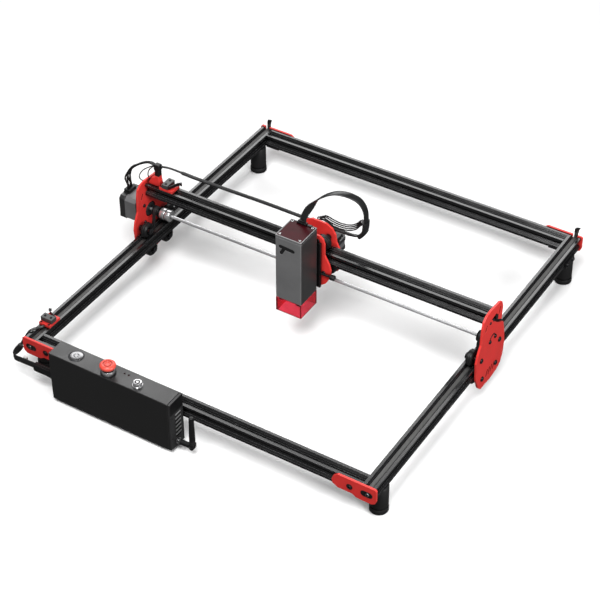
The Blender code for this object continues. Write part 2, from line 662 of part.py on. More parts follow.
def build_lock_knob():
    start = CARRIAGE_X + 25 + GAP
    centre = (0, DOVETAIL_BACK_Y - 1.8, 116)
    head = start + 15.8
    profile = [(0, start), (1.6, start), (1.6, head), (3.6, head), (4.4, head + 1.2),
               (4.4, head + 6.5), (3.4, head + 8), (0, head + 8)]
    node("lock_knob", turned(profile, centre, "X", 18), BLACK_PLASTIC,
         (start, centre[1], centre[2]), smooth=True)


def main():
    clear_scene()
    build_frame()
    build_corners_and_feet()
    build_rail_belts()
    build_control_box()
    build_buttons()
    build_aerial()
    build_box_cable()
    build_gantry_frame()
    build_gantry_drive()
    build_fittings()
    build_cables()
    build_carriage_plates()
    build_carriage_parts()
    build_laser_head()
    build_lock_knob()


main()
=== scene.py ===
"""Looks of an open-frame gantry laser engraver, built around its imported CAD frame.

Sizes are millimetres from the middle of the rail frame, x to the right, y to the back and z up from
the floor. at() and the piece builders turn them into the frame's metres.
"""
import json
import math

import bmesh
import bpy
from mathutils import Matrix, Vector


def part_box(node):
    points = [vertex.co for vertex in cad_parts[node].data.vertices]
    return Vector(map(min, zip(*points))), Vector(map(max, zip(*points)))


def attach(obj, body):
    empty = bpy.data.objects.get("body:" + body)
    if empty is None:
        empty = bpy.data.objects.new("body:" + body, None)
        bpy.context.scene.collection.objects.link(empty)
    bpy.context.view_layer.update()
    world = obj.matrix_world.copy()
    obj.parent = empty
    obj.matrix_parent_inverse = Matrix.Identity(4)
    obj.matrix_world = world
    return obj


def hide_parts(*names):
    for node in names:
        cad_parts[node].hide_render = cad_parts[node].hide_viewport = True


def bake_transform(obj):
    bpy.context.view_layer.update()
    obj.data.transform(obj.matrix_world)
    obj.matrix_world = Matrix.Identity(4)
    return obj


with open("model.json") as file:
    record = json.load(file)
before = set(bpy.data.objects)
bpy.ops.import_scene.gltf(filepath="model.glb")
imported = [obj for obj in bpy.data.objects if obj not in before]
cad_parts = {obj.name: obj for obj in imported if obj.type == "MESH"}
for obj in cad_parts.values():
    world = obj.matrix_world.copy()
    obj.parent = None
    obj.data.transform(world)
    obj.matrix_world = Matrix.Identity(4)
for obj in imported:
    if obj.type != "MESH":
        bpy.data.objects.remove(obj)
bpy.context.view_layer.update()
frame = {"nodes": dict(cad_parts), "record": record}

MM = 0.001
LEFT_RAIL_LOW, LEFT_RAIL_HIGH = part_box("rail_left")
RIGHT_RAIL_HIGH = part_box("rail_right")[1]
MIDDLE = Vector(((LEFT_RAIL_LOW.x + RIGHT_RAIL_HIGH.x) / 2,
                 (LEFT_RAIL_LOW.y + LEFT_RAIL_HIGH.y) / 2, 0))
TO_FRAME = Matrix.Translation(MIDDLE) @ Matrix.Scale(MM, 4)
AXES = {
    "X": Matrix(((0, 0, 1), (1, 0, 0), (0, 1, 0))),
    "Y": Matrix(((1, 0, 0), (0, 0, 1), (0, 1, 0))),
    "Z": Matrix.Identity(3),
}


def at(x, y, z):
    return TO_FRAME @ Vector((x, y, z))


def span(node):
    """A CAD node's lowest and highest corners in middle-of-frame millimetres."""
    low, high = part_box(node)
    return (low - MIDDLE) / MM, (high - MIDDLE) / MM


def middle(node):
    low, high = span(node)
    return (low + high) / 2


def upright_axis(node):
    """Where the upright line through the middle of a CAD node meets the floor."""
    return (*middle(node).xy, 0)


# ---------------------------------------------------------------- camera

CAMERA_PLACE = (1067.4, -1758.7, 1745.6)
CAMERA_AZIMUTH = 31.76
CAMERA_ELEVATION = 39.67
CAMERA_LENS = 107.35


def build_camera():
    data = bpy.data.cameras.new("camera")
    data.lens = CAMERA_LENS
    data.sensor_width = 36
    data.clip_start = 0.05
    data.clip_end = 60
    camera = bpy.data.objects.new("camera", data)
    bpy.context.collection.objects.link(camera)
    azimuth = math.radians(CAMERA_AZIMUTH)
    elevation = math.radians(CAMERA_ELEVATION)
    back = Vector((math.sin(azimuth) * math.cos(elevation),
                   -math.cos(azimuth) * math.cos(elevation), math.sin(elevation)))
    camera.location = at(*CAMERA_PLACE)
    camera.rotation_euler = (-back).to_track_quat("-Z", "Y").to_euler()
    bpy.context.scene.camera = camera


# ---------------------------------------------------------------- materials

def add_node(tree, kind, inputs=(), **settings):
    made = tree.nodes.new(kind)
    for key, value in settings.items():
        setattr(made, key, value)
    for key, value in dict(inputs).items():
        if isinstance(value, bpy.types.NodeSocket):
            tree.links.new(value, made.inputs[key])
        else:
            made.inputs[key].default_value = value
    return made


def mixed(tree, factor, first, second):
    """Colour that goes from first to second as factor goes from 0 to 1."""
    mix = add_node(tree, "ShaderNodeMix", data_type="RGBA")
    for index, value in ((0, factor), (6, first), (7, second)):
        if isinstance(value, bpy.types.NodeSocket):
            tree.links.new(value, mix.inputs[index])
        else:
            mix.inputs[index].default_value = value
    return mix.outputs[2]


def scaled(tree, value, low, high, out_low, out_high):
    return add_node(tree, "ShaderNodeMapRange", {
        "Value": value, "From Min": low, "From Max": high, "To Min": out_low,
        "To Max": out_high}).outputs[0]


def new_material(name):
    """A material, its node tree, its shader and the socket with object coordinates."""
    item = bpy.data.materials.new(name)
    item.use_nodes = True
    tree = item.node_tree
    place = add_node(tree, "ShaderNodeTexCoord").outputs["Object"]
    return item, tree, tree.nodes["Principled BSDF"], place


def material(name, colour, roughness, metallic=0.0, edge_wear_and_highlight=None, highlight_and_wear_amount=0.5, grain=900.0,
             stretch=(1, 1, 1), bump=0.2, mottle=0.15, rounding=0.5, teeth=None, shine=0.5,
             painted_flank_brightness=1.0):
    """Paint, metal, rubber or plastic with fine grain, mottled tone, edges lightened by wear and a
    painted highlight, and painted shade in hollows.

    stretch draws the grain out along an axis, teeth is an axis to rib across, and the flank
    brightness is how bright the faces square to X are painted next to the others, a painted shade.
    """
    item, tree, shader, place = new_material(name)
    shader.inputs["Metallic"].default_value = metallic
    shader.inputs["Specular IOR Level"].default_value = shine
    grained = add_node(tree, "ShaderNodeMapping", {"Vector": place, "Scale": stretch})
    fine = add_node(tree, "ShaderNodeTexNoise", {
        "Vector": grained.outputs[0], "Scale": grain, "Detail": 3.0}).outputs["Fac"]
    broad = add_node(tree, "ShaderNodeTexNoise", {
        "Vector": place, "Scale": 21.0, "Detail": 6.0, "Roughness": 0.6}).outputs["Fac"]

    # Edges are lightened towards the edge colour in patches: part wear, part a painted highlight
    # where the edges catch the light.
    soft = add_node(tree, "ShaderNodeBevel", {"Radius": rounding * MM}, samples=4).outputs[0]
    flat = add_node(tree, "ShaderNodeNewGeometry").outputs["True Normal"]
    facing = add_node(tree, "ShaderNodeVectorMath", {0: soft, 1: flat}, operation="DOT_PRODUCT")
    edge = scaled(tree, facing.outputs["Value"], 0.995, 0.9, 0.0, 1.0)
    patchy = scaled(tree, broad, 0.3, 0.6, 0.45 * highlight_and_wear_amount, highlight_and_wear_amount)
    edge = add_node(tree, "ShaderNodeMath", {0: edge, 1: patchy}, operation="MULTIPLY").outputs[0]

    shade = tuple(c * (1 - mottle) for c in colour[:3]) + (1,)
    tint = tuple(min(c * (1 + mottle), 1) for c in colour[:3]) + (1,)
    tone = mixed(tree, scaled(tree, broad, 0.35, 0.65, 0.0, 1.0), shade, tint)
    tone = mixed(tree, scaled(tree, fine, 0.35, 0.65, 0.0, 0.5 * mottle), tone, shade)
    # Faces square to X are painted darker than the rest, a painted shade on the sides.
    if painted_flank_brightness < 1:
        across = add_node(tree, "ShaderNodeSeparateXYZ", {"Vector": flat}).outputs[0]
        across = add_node(tree, "ShaderNodeMath", {0: across}, operation="ABSOLUTE").outputs[0]
        painted_flank_shade = tuple(c * painted_flank_brightness for c in colour[:3]) + (1,)
        tone = mixed(tree, scaled(tree, across, 0.6, 0.9, 0.0, 1.0), tone, painted_flank_shade)
    bright = edge_wear_and_highlight or tuple(min(c * 1.6 + 0.02, 1) for c in colour[:3]) + (1,)
    # Ambient occlusion paints shade into the base colour: hollows, slots and corners darken towards
    # 12 % of the colour, a painted shade.
    painted_shade_ao = add_node(tree, "ShaderNodeAmbientOcclusion", {"Distance": 7 * MM},
                        samples=6).outputs["AO"]
    painted_shade_ao = scaled(tree, painted_shade_ao, 0.3, 0.9, 0.0, 1.0)
    tone = mixed(tree, edge, tone, bright)
    painted_hollow_shade = tuple(c * 0.12 for c in colour[:3]) + (1,)
    tree.links.new(mixed(tree, painted_shade_ao, painted_hollow_shade, tone), shader.inputs["Base Color"])
    rough = scaled(tree, broad, 0.3, 0.7, roughness * 0.85, min(roughness * 1.15, 1))
    tree.links.new(rough, shader.inputs["Roughness"])

    height = fine
    strength = bump
    if teeth:
        wave = add_node(tree, "ShaderNodeTexWave", {"Vector": place, "Scale": 157.0},
                        bands_direction=teeth)
        height = wave.outputs["Fac"]
        strength = 0.8
    relief = add_node(tree, "ShaderNodeBump", {
        "Height": height, "Strength": strength, "Distance": 0.3 * MM, "Normal": soft})
    tree.links.new(relief.outputs[0], shader.inputs["Normal"])
    return item


def clear_acrylic(name, colour, roughness=0.08):
    """Tinted see-through sheet with faint flow lines."""
    item, tree, shader, place = new_material(name)
    shader.inputs["Transmission Weight"].default_value = 0.85
    shader.inputs["IOR"].default_value = 1.49
    broad = add_node(tree, "ShaderNodeTexNoise", {"Vector": place, "Scale": 35.0}).outputs["Fac"]
    deep = tuple(c * 0.82 for c in colour[:3]) + (1,)
    tree.links.new(mixed(tree, scaled(tree, broad, 0.3, 0.7, 0.0, 1.0), deep, colour),
                   shader.inputs["Base Color"])
    tree.links.new(scaled(tree, broad, 0.3, 0.7, roughness * 0.7, roughness * 1.4),
                   shader.inputs["Roughness"])
    return item


def build_materials():
    white_edge = (0.55, 0.55, 0.56, 1)
    along_x = {"stretch": (0.02, 1, 1), "grain": 2600.0}
    along_y = {"stretch": (1, 0.02, 1), "grain": 2600.0}
    # The edge colours lighten the parts' edges: part wear, part painted highlight.
    anodised = {"colour": (0.006, 0.006, 0.0065, 1), "roughness": 0.25, "metallic": 0.1,
                "edge_wear_and_highlight": (0.34, 0.34, 0.35, 1), "highlight_and_wear_amount": 0.7, "bump": 0.1, "shine": 0.74}
    red = (0.8, 0.04, 0.035, 1)
    return {
        "profile_x": material("black_anodised_x", **anodised, **along_x),
        "profile_y": material("black_anodised_y", **anodised, **along_y),
        "red": material("red_powder_coat", red, 0.42, edge_wear_and_highlight=(0.9, 0.2, 0.15, 1), highlight_and_wear_amount=0.7,
                        grain=1500.0, bump=0.25, mottle=0.06, shine=0.4),
        # Dark red for the sheets in the plates' slots: painted shade of the slot walls.
        "dark_red": material("red_painted_slot_shade", (0.2, 0.006, 0.008, 1), 0.5, grain=1500.0,
                             shine=0.3),
        "rubber": material("black_rubber", (0.013, 0.013, 0.0135, 1), 0.5, grain=2200.0,
                           bump=0.4, shine=0.35),
        "plastic": material("black_plastic", (0.006, 0.006, 0.0065, 1), 0.4, grain=1800.0,
                            bump=0.3, edge_wear_and_highlight=(0.12, 0.12, 0.12, 1), shine=0.36),
        "paint": material("black_box_paint", (0.004, 0.004, 0.0043, 1), 0.38, grain=2400.0,
                          bump=0.3, edge_wear_and_highlight=(0.16, 0.16, 0.16, 1), highlight_and_wear_amount=0.5, mottle=0.08,
                          shine=0.85),
        "end_plate": material("grey_box_paint", (0.028, 0.028, 0.029, 1), 0.42, grain=2400.0,
                              bump=0.3, edge_wear_and_highlight=(0.16, 0.16, 0.16, 1), highlight_and_wear_amount=0.5, shine=0.4),
        "louvre": material("louvre_paint", (0.22, 0.22, 0.222, 1), 0.4, grain=2400.0,
                           edge_wear_and_highlight=(0.4, 0.4, 0.4, 1), highlight_and_wear_amount=0.6),
        "motor": material("motor_lacquer", (0.026, 0.026, 0.027, 1), 0.4, 0.0, grain=1300.0,
                          edge_wear_and_highlight=(0.14, 0.14, 0.15, 1)),
        "laminate": material("motor_laminations", (0.19, 0.19, 0.195, 1), 0.5, 0.2,
                             grain=2600.0, stretch=(1, 0.03, 0.03), bump=0.6),
        # The head's sides are painted darker, a painted shade, and its edges lightened with the
        # white edge colour, part wear and part painted highlight.
        "head": material("grey_anodised", (0.185, 0.185, 0.188, 1), 0.36, 0.15, grain=2600.0,
                         stretch=(1, 1, 0.02), edge_wear_and_highlight=white_edge, highlight_and_wear_amount=0.8, bump=0.12,
                         mottle=0.08, painted_flank_brightness=0.22),
        "steel": material("polished_steel", (0.72, 0.72, 0.73, 1), 0.22, 0.62, grain=1700.0,
                          stretch=(0.05, 1, 1), edge_wear_and_highlight=(0.8, 0.8, 0.8, 1), bump=0.08,
                          mottle=0.08),
        "button_steel": material("spun_steel", (0.62, 0.62, 0.63, 1), 0.24, 0.75, grain=1400.0,
                                 edge_wear_and_highlight=(0.85, 0.85, 0.85, 1), bump=0.12, mottle=0.1),
        "brushed": material("brushed_cap", (0.3, 0.3, 0.305, 1), 0.3, 1.0, grain=900.0,
                            stretch=(0.15, 1, 1), edge_wear_and_highlight=(0.6, 0.6, 0.6, 1), bump=0.2,
                            mottle=0.3),
        "dark_steel": material("black_oxide_steel", (0.022, 0.022, 0.024, 1), 0.3, 0.7,
                               edge_wear_and_highlight=(0.25, 0.25, 0.26, 1), grain=1500.0),
        "switch": material("grey_switch_plastic", (0.055, 0.056, 0.056, 1), 0.45, grain=1800.0,
                           edge_wear_and_highlight=(0.3, 0.3, 0.3, 1)),
        "stop": material("red_button_plastic", (0.8, 0.085, 0.06, 1), 0.3, grain=1500.0,
                         bump=0.08, mottle=0.05, edge_wear_and_highlight=(0.95, 0.35, 0.3, 1), highlight_and_wear_amount=0.4),
        "belt": material("toothed_belt", (0.06, 0.059, 0.057, 1), 0.4, teeth="Y",
                         mottle=0.12, shine=0.7),
        "belt_x": material("toothed_belt_x", (0.03, 0.03, 0.031, 1), 0.55, teeth="X"),
        "pulley": material("toothed_pulley", (0.03, 0.03, 0.032, 1), 0.35, 0.6),
        "cable": material("cable_jacket", (0.01, 0.01, 0.0105, 1), 0.42, grain=1900.0,
                          bump=0.3),
        "sleeve": material("woven_sleeve", (0.016, 0.016, 0.0165, 1), 0.5, grain=1300.0,
                           stretch=(1, 1, 2.5), bump=0.9, mottle=0.3),
        "ribbon": material("flat_cable", (0.012, 0.012, 0.0125, 1), 0.32, grain=700.0,
                           bump=0.25, mottle=0.2, edge_wear_and_highlight=(0.2, 0.2, 0.2, 1)),
        "cover": material("dark_red_panel", (0.045, 0.004, 0.007, 1), 0.3, mottle=0.3,
                          bump=0.05, edge_wear_and_highlight=(0.3, 0.1, 0.1, 1), shine=0.06),
        "white": material("white_nylon", (0.7, 0.7, 0.69, 1), 0.4, mottle=0.05),
        "brass": material("brass_nozzle", (0.6, 0.42, 0.16, 1), 0.25, 1.0, mottle=0.1),
        "shield": clear_acrylic("red_acrylic", (0.9, 0.06, 0.1, 1)),
    }


CAD_FINISHES = {
    "frame_black": "profile_x", "red_paint": "red", "foot_rubber": "rubber",
    "belt_rubber": "belt", "cable": "cable", "wheel_plastic": "plastic",
    "motor_black": "motor", "box_shell": "paint", "head_grey": "head", "head_cover": "cover",
    "steel": "steel", "shield_acrylic": "shield", "stop_red": "stop",
    "switch_plastic": "switch", "black_plastic": "plastic",
}
NODE_FINISHES = {
    "rail_left": "profile_y", "rail_right": "profile_y", "x_belt": "belt_x",
    "x_limit_lever": "dark_steel", "y_limit_lever": "dark_steel", "dovetail_bar": "plastic",
    "control_box_end": "end_plate",
}
ROUNDED_SLOTS = {"frame_black": 0.5, "red_paint": 0.5, "box_shell": 0.4, "head_grey": 0.35}


def round_edges(item, width, angle=40):
    rounded = item.modifiers.new("edges", "BEVEL")
    rounded.width = width * MM
    rounded.segments = 2
    rounded.limit_method = "ANGLE"
    rounded.angle_limit = math.radians(angle)


def finish_cad_nodes():
    for part in frame["record"]["subparts"]:
        finish = NODE_FINISHES.get(part["node"], CAD_FINISHES[part["material_slot"]])
        item = frame["nodes"][part["node"]]
        if part["material_slot"] in ROUNDED_SLOTS:
            round_edges(item, ROUNDED_SLOTS[part["material_slot"]])
        if not item.material_slots:
            item.data.materials.append(look[finish])
        for place in item.material_slots:
            place.material = look[finish]


# ---------------------------------------------------------------- shape helpers

def sheet(outline, low, high, axis, holes=()):
    """Flat outline with holes, as thick as low to high along an axis.

    Outline points are (y, z) for X, (x, z) for Y and (x, y) for Z.
    """
    low, high = sorted((low, high))
    mesh = bmesh.new()
    edges = []
    for loop in (outline, *holes):
        verts = [mesh.verts.new((u, v, low)) for u, v in loop]
        edges += [mesh.edges.new((verts[i - 1], verts[i])) for i in range(len(verts))]
    if holes:
        bmesh.ops.triangle_fill(mesh, edges=edges, use_beauty=True, use_dissolve=False)
    else:
        mesh.faces.new(mesh.verts)
    grown = bmesh.ops.extrude_face_region(mesh, geom=mesh.faces[:])
    top = [part for part in grown["geom"] if isinstance(part, bmesh.types.BMVert)]
    bmesh.ops.translate(mesh, verts=top, vec=(0, 0, high - low))
    bmesh.ops.transform(mesh, matrix=AXES[axis].to_4x4(), verts=mesh.verts)
    return mesh


def block(x_low, x_high, y_low, y_high, z_low, z_high):
    outline = [(x_low, y_low), (x_high, y_low), (x_high, y_high), (x_low, y_high)]
    return sheet(outline, z_low, z_high, "Z")


def turned(profile, centre, axis, segments=40):
    """(radius, along) profile spun round an axis; radius 0 closes an end."""
    mesh = bmesh.new()
    rings = []
    for radius, along in profile:
        if radius == 0:
            rings.append([mesh.verts.new((0, 0, along))])
            continue
        angles = [2 * math.pi * i / segments for i in range(segments)]
        rings.append([mesh.verts.new((radius * math.cos(a), radius * math.sin(a), along))
                      for a in angles])
    closed = profile[0][0] > 0
    pairs = list(zip(rings, rings[1:]))
    if closed:
        pairs.append((rings[-1], rings[0]))
    for lower, upper in pairs:
        for i in range(segments):
            j = (i + 1) % segments
            corners = [lower[i % len(lower)], lower[j % len(lower)], upper[j % len(upper)],
                       upper[i % len(upper)]]
            mesh.faces.new(list(dict.fromkeys(corners)))
    bmesh.ops.transform(mesh, matrix=Matrix.Translation(centre) @ AXES[axis].to_4x4(),
                        verts=mesh.verts)
    return mesh


def tube(inner, outer, low, high):
    """Profile of a ring, or of a rod where inner is 0, for turned()."""
    return [(inner, low), (outer, low), (outer, high), (inner, high)]


def joined(parts):
    """Meshes as one; faces of a (mesh, n) pair take material n, those of a bare mesh 0."""
    whole = bmesh.new()
    for part in parts:
        part, number = part if isinstance(part, tuple) else (part, 0)
        start = len(whole.faces)
        data = bpy.data.meshes.new("part")
        part.to_mesh(data)
        part.free()
        whole.from_mesh(data)
        bpy.data.meshes.remove(data)
        whole.faces.ensure_lookup_table()
        for face in whole.faces[start:]:
            face.material_index = number
    return whole


def smooth_route(points, spacing):
    """Points a fixed distance apart on a Catmull-Rom curve through the route."""
    knots = [Vector(p) for p in points]
    knots = [2 * knots[0] - knots[1]] + knots + [2 * knots[-1] - knots[-2]]
    fine = []
    for a, b, c, d in zip(knots, knots[1:], knots[2:], knots[3:]):
        for i in range(40):
            t = i / 40
            fine.append(0.5 * (2 * b + (c - a) * t + (2 * a - 5 * b + 4 * c - d) * t ** 2
                               + (3 * b - a - 3 * c + d) * t ** 3))
    fine.append(knots[-2])
    total = sum((q - p).length for p, q in zip(fine, fine[1:]))
    step = total / max(round(total / spacing), 1)
    samples = [fine[0]]
    walked = 0.0
    for p, q in zip(fine, fine[1:]):
        walked += (q - p).length
        if walked >= step * len(samples) - 1e-6 and walked < total - step / 2:
            samples.append(q)
    samples.append(fine[-1])
    return samples


def swept(route, width, thickness, side=None, spacing=2.0, corners=12):
    """Cable along a route. width and thickness are numbers, or functions of the way along.

    side gives the direction of the width at each place along; without it the cable is
    carried along its curve without a twist.
    """
    samples = smooth_route(route, spacing)
    mesh = bmesh.new()
    rings = []
    across = None
    last = len(samples) - 1
    for i, centre in enumerate(samples):
        part = i / last
        tangent = (samples[min(i + 1, last)] - samples[max(i - 1, 0)]).normalized()
        if side is not None:
            across = Vector(side(part))
        elif across is None:
            across = tangent.orthogonal()
        across = (across - across.dot(tangent) * tangent).normalized()
        up = tangent.cross(across)
        wide = (width(part) if callable(width) else width) / 2
        thick = (thickness(part) if callable(thickness) else thickness) / 2
        ring = []
        for k in range(corners):
            angle = 2 * math.pi * k / corners
            power = 0.45 if wide > thick * 1.5 else 1.0
            u = math.copysign(abs(math.cos(angle)) ** power, math.cos(angle))
            ring.append(mesh.verts.new(centre + across * (u * wide)
                                       + up * (math.sin(angle) * thick)))
        rings.append(ring)
    for first, second in zip(rings, rings[1:]):
        for k in range(corners):
            j = (k + 1) % corners
            mesh.faces.new((first[k], first[j], second[j], second[k]))
    mesh.faces.new(rings[0])
    mesh.faces.new(rings[-1])
    return mesh


def eased(part, start, end):
    """0 before start, 1 after end, and smooth between."""
    t = min(max((part - start) / (end - start), 0), 1)
    return t * t * (3 - 2 * t)


def show(name, mesh, finishes, body=None, smooth=False, bevel=0.0, replaces=()):
    """Object from a millimetre mesh or list of parts, riding on a body when one is given."""
    if isinstance(mesh, list):
        mesh = joined(mesh)
    bmesh.ops.recalc_face_normals(mesh, faces=mesh.faces)
    bmesh.ops.transform(mesh, matrix=TO_FRAME, verts=mesh.verts)
    data = bpy.data.meshes.new(name)
    mesh.to_mesh(data)
    mesh.free()
    for finish in finishes.split():
        data.materials.append(look[finish])
    item = bpy.data.objects.new(name, data)
    bpy.context.collection.objects.link(item)
    if smooth:
        data.shade_smooth()
        data.set_sharp_from_angle(angle=math.radians(35))
    if bevel:
        round_edges(item, bevel)
    if body:
        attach(item, body)
    if replaces:
        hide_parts(*replaces)
    return item


def socket_screw(centre, axis, way, radius=2.8, height=2.4, segments=24):
    """Button-head screw with a hexagonal socket, standing out of a face along way."""
    mesh = bmesh.new()
    rings = []
    profile = [(radius, 0), (radius, height * 0.45), (radius * 0.88, height * 0.8),
               (radius * 0.62, height)]
    for r, along in profile:
        angles = [2 * math.pi * i / segments for i in range(segments)]
        rings.append([mesh.verts.new((r * math.cos(a), r * math.sin(a), way * along))
                      for a in angles])
    for depth in (height, height * 0.35):
        ring = []
        for i in range(segments):
            a = 2 * math.pi * i / segments
            sector = (a % (math.pi / 3)) - math.pi / 6
            r = radius * 0.5 * math.cos(math.pi / 6) / math.cos(sector)
            ring.append(mesh.verts.new((r * math.cos(a), r * math.sin(a), way * depth)))
        rings.append(ring)
    for lower, upper in zip(rings, rings[1:]):
        for i in range(segments):
            j = (i + 1) % segments
            mesh.faces.new((lower[i], lower[j], upper[j], upper[i]))
    mesh.faces.new(rings[0])
    mesh.faces.new(rings[-1])
    bmesh.ops.transform(mesh, matrix=Matrix.Translation(centre) @ AXES[axis].to_4x4(),
                        verts=mesh.verts)
    return mesh


def circle(u, v, radius, segments=32):
    return [(u + radius * math.cos(2 * math.pi * i / segments),
             v + radius * math.sin(2 * math.pi * i / segments)) for i in range(segments)]


def stadium(u, v, length, width, angle=0.0):
    """Round-ended outline centred on (u, v), turned by an angle in degrees."""
    turn = math.radians(angle)
    points = []
    for side in (1, -1):
        for i in range(9):
            a = math.pi * (i / 8 - 0.5)
            p = side * ((length - width) / 2 + width / 2 * math.cos(a))
            q = side * width / 2 * math.sin(a)
            points.append((u + p * math.cos(turn) - q * math.sin(turn),
                           v + p * math.sin(turn) + q * math.cos(turn)))
    return points


# ---------------------------------------------------------------- rail frame

HALF_WIDTH = (RIGHT_RAIL_HIGH.x - LEFT_RAIL_LOW.x) / MM / 2
HALF_DEPTH = (LEFT_RAIL_HIGH.y - LEFT_RAIL_LOW.y) / MM / 2
RAIL_TOP = LEFT_RAIL_HIGH.z / MM
PROFILE = (LEFT_RAIL_HIGH.z - LEFT_RAIL_LOW.z) / MM
RAIL_X = HALF_WIDTH - PROFILE / 2
RAIL_Z = RAIL_TOP - PROFILE / 2
SHEET = 3.0
SIDES = (("left", -1), ("right", 1))
ENDS = (("front", -1), ("back", 1))


def build_feet():
    top = RAIL_TOP - PROFILE - 0.3
    foot = [(0, 0.2), (11.4, 0.2), (12.8, 0.6), (13.5, 1.6), (13.5, 8), (13.1, 8.8), (11.2, 9),
            (11.2, 10.8), (12.7, 11.2), (13, 12), (12.9, top - 1.2), (12.3, top - 0.3),
            (11.6, top), (0, top)]
    for end, _ in ENDS:
        for side, _ in SIDES:
            name = f"foot_{end}_{side}"
            show(f"{name}_turned", turned(foot, upright_axis(name), "Z", 56), "rubber", "frame",
                 smooth=True, replaces=(name,))


def build_frame_fasteners():
    """Screws and washers of the corner plates, the joining straps and the foot brackets."""
    screws = []
    washers = []
    straps = []
    inner = HALF_WIDTH - PROFILE
    for end, way in ENDS:
        face = way * (HALF_DEPTH + SHEET + 0.3)
        for _, sign in SIDES:
            outer = face + way * 0.35
            washers.append(sheet(circle(sign * 252, 55, 4.6, 28), face, outer, "Y"))
            washers.append(sheet(stadium(sign * 278, 54.5, 18, 9.4), face, outer, "Y"))
            screws.append((socket_screw((sign * 252, face, 55), "Y", way, 2.9, 2), 1))
            screws.append(socket_screw((sign * 279.5, face, 54.5), "Y", way, 3.1, 2))
            straps.append(block(sign * (inner - 24), sign * inner, way * (HALF_DEPTH - PROFILE),
                                way * HALF_DEPTH, RAIL_TOP - PROFILE - 2.2,
                                RAIL_TOP - PROFILE - 0.1))
            if end == "back":
                washers.append(block(sign * (HALF_WIDTH + 0.1), sign * (HALF_WIDTH + 2.3), 262,
                                     291, RAIL_Z - 15, RAIL_Z - 4.5))
                for y in (267.5, 285.5):
                    centre = (sign * (HALF_WIDTH + 2.2), y, RAIL_Z - 9.5)
                    screws.append((socket_screw(centre, "X", sign, 3.4, 2.6), 1))
    show("corner_screws", screws, "brushed dark_steel", "frame", smooth=True)
    show("corner_washers", washers, "plastic", "frame")
    show("corner_straps", straps, "plastic", "frame", bevel=0.4)


def build_belt_tails():
    """End of each rail belt, turned over the back plate and leaning out."""
    for side, sign in SIDES:
        x = sign * RAIL_X
        back = HALF_DEPTH + SHEET + 2.3
        tail = [(x, back, RAIL_TOP + 4), (x + 0.5, back, RAIL_TOP + 8),
                (x + 1.6, back - 0.5, RAIL_TOP + 11.5), (x + 3.2, back - 2, RAIL_TOP + 14.5),
                (x + 4.2, back - 4.5, RAIL_TOP + 15.8)]
        show(f"belt_tail_{side}", swept(tail, 6.6, 2.0, lambda part: (1, 0.3, 0), 1.0, 8), "rubber",
             "frame", smooth=True)


# ---------------------------------------------------------------- control box

BOX_LOW, BOX_HIGH = span("control_box")
BOX_END = span("control_box_end")[0].x + SHEET
BOX_MIDDLE = middle("control_box").y


def build_box_details():
    top = BOX_HIGH.z
    seam = block(BOX_LOW.x + 1, BOX_HIGH.x - 0.4, BOX_LOW.y - 0.06, BOX_LOW.y + 0.3,
                 top - 2.4, top - 1.5)
    show("box_lid_seam", seam, "plastic", "frame")
    # Dark strip across the top of the box's end: painted shade below the lid's overhang.
    lid_shade_strip = block(BOX_END - 0.1, BOX_END + 0.3, BOX_LOW.y + 0.6, BOX_HIGH.y - 0.6, top - 21,
                 top - 0.3)
    show("box_end_painted_shade", lid_shade_strip, "plastic", "frame", bevel=0.12)
    louvres = [sheet(stadium(BOX_MIDDLE + 2.8, 27.6 + 7.3 * i, 13, 2.6), BOX_END - 0.05,
                     BOX_END + 0.5, "X") for i in range(6)]
    show("box_end_louvres", louvres, "louvre", "frame", bevel=0.15)
    lamps = [turned([(0, -2.5), (1.55, -2.5), (1.55, -1.2), (1.0, -1), (0, -1)], (x, -324.8, top),
                    "Z", 20) for x in (-105, -98)]
    show("box_lamps", lamps, "cover", "frame", smooth=True)
    screws = [socket_screw((BOX_END - 0.1, y, z), "X", 1, 1.7, 0.9)
              for y in (BOX_LOW.y + 4, BOX_HIGH.y - 4) for z in (top - 26, 26)]
    screws += [socket_screw((BOX_LOW.x + 0.1, y, z), "X", -1, 1.7, 0.9)
               for y in (BOX_LOW.y + 4, BOX_HIGH.y - 4) for z in (top - 5, BOX_LOW.z + 5)]
    show("box_screws", screws, "dark_steel", "frame", smooth=True)
    ports = [block(x - w / 2, x + w / 2, BOX_HIGH.y - 0.6, BOX_HIGH.y + 0.08, z - 3, z + 3)
             for x, w, z in ((-190, 13, 22), (-165, 10, 22), (-140, 16, 22))]
    show("box_back_ports", ports, "rubber", "frame", bevel=0.3)
    hooks = [block(x - 9, x + 9, BOX_HIGH.y + 0.05, BOX_HIGH.y + 0.28, RAIL_Z - 7, RAIL_Z + 7)
             for x in (-190, -45)]
    show("box_hang_plates", hooks, "dark_steel", "frame")


def ring_groove(radius, groove_in, groove_out, top, height):
    """Button cap with a ring pressed into its top; radii and heights run outwards and up."""
    return [(0, top), (groove_in - 0.5, top), (groove_in, top - 0.5), (groove_out, top - 0.5),
            (groove_out + 0.5, top), (radius - 0.7, top), (radius - 0.15, top - 0.25),
            (radius, top - 0.8), (radius, top - height), (0, top - height)]


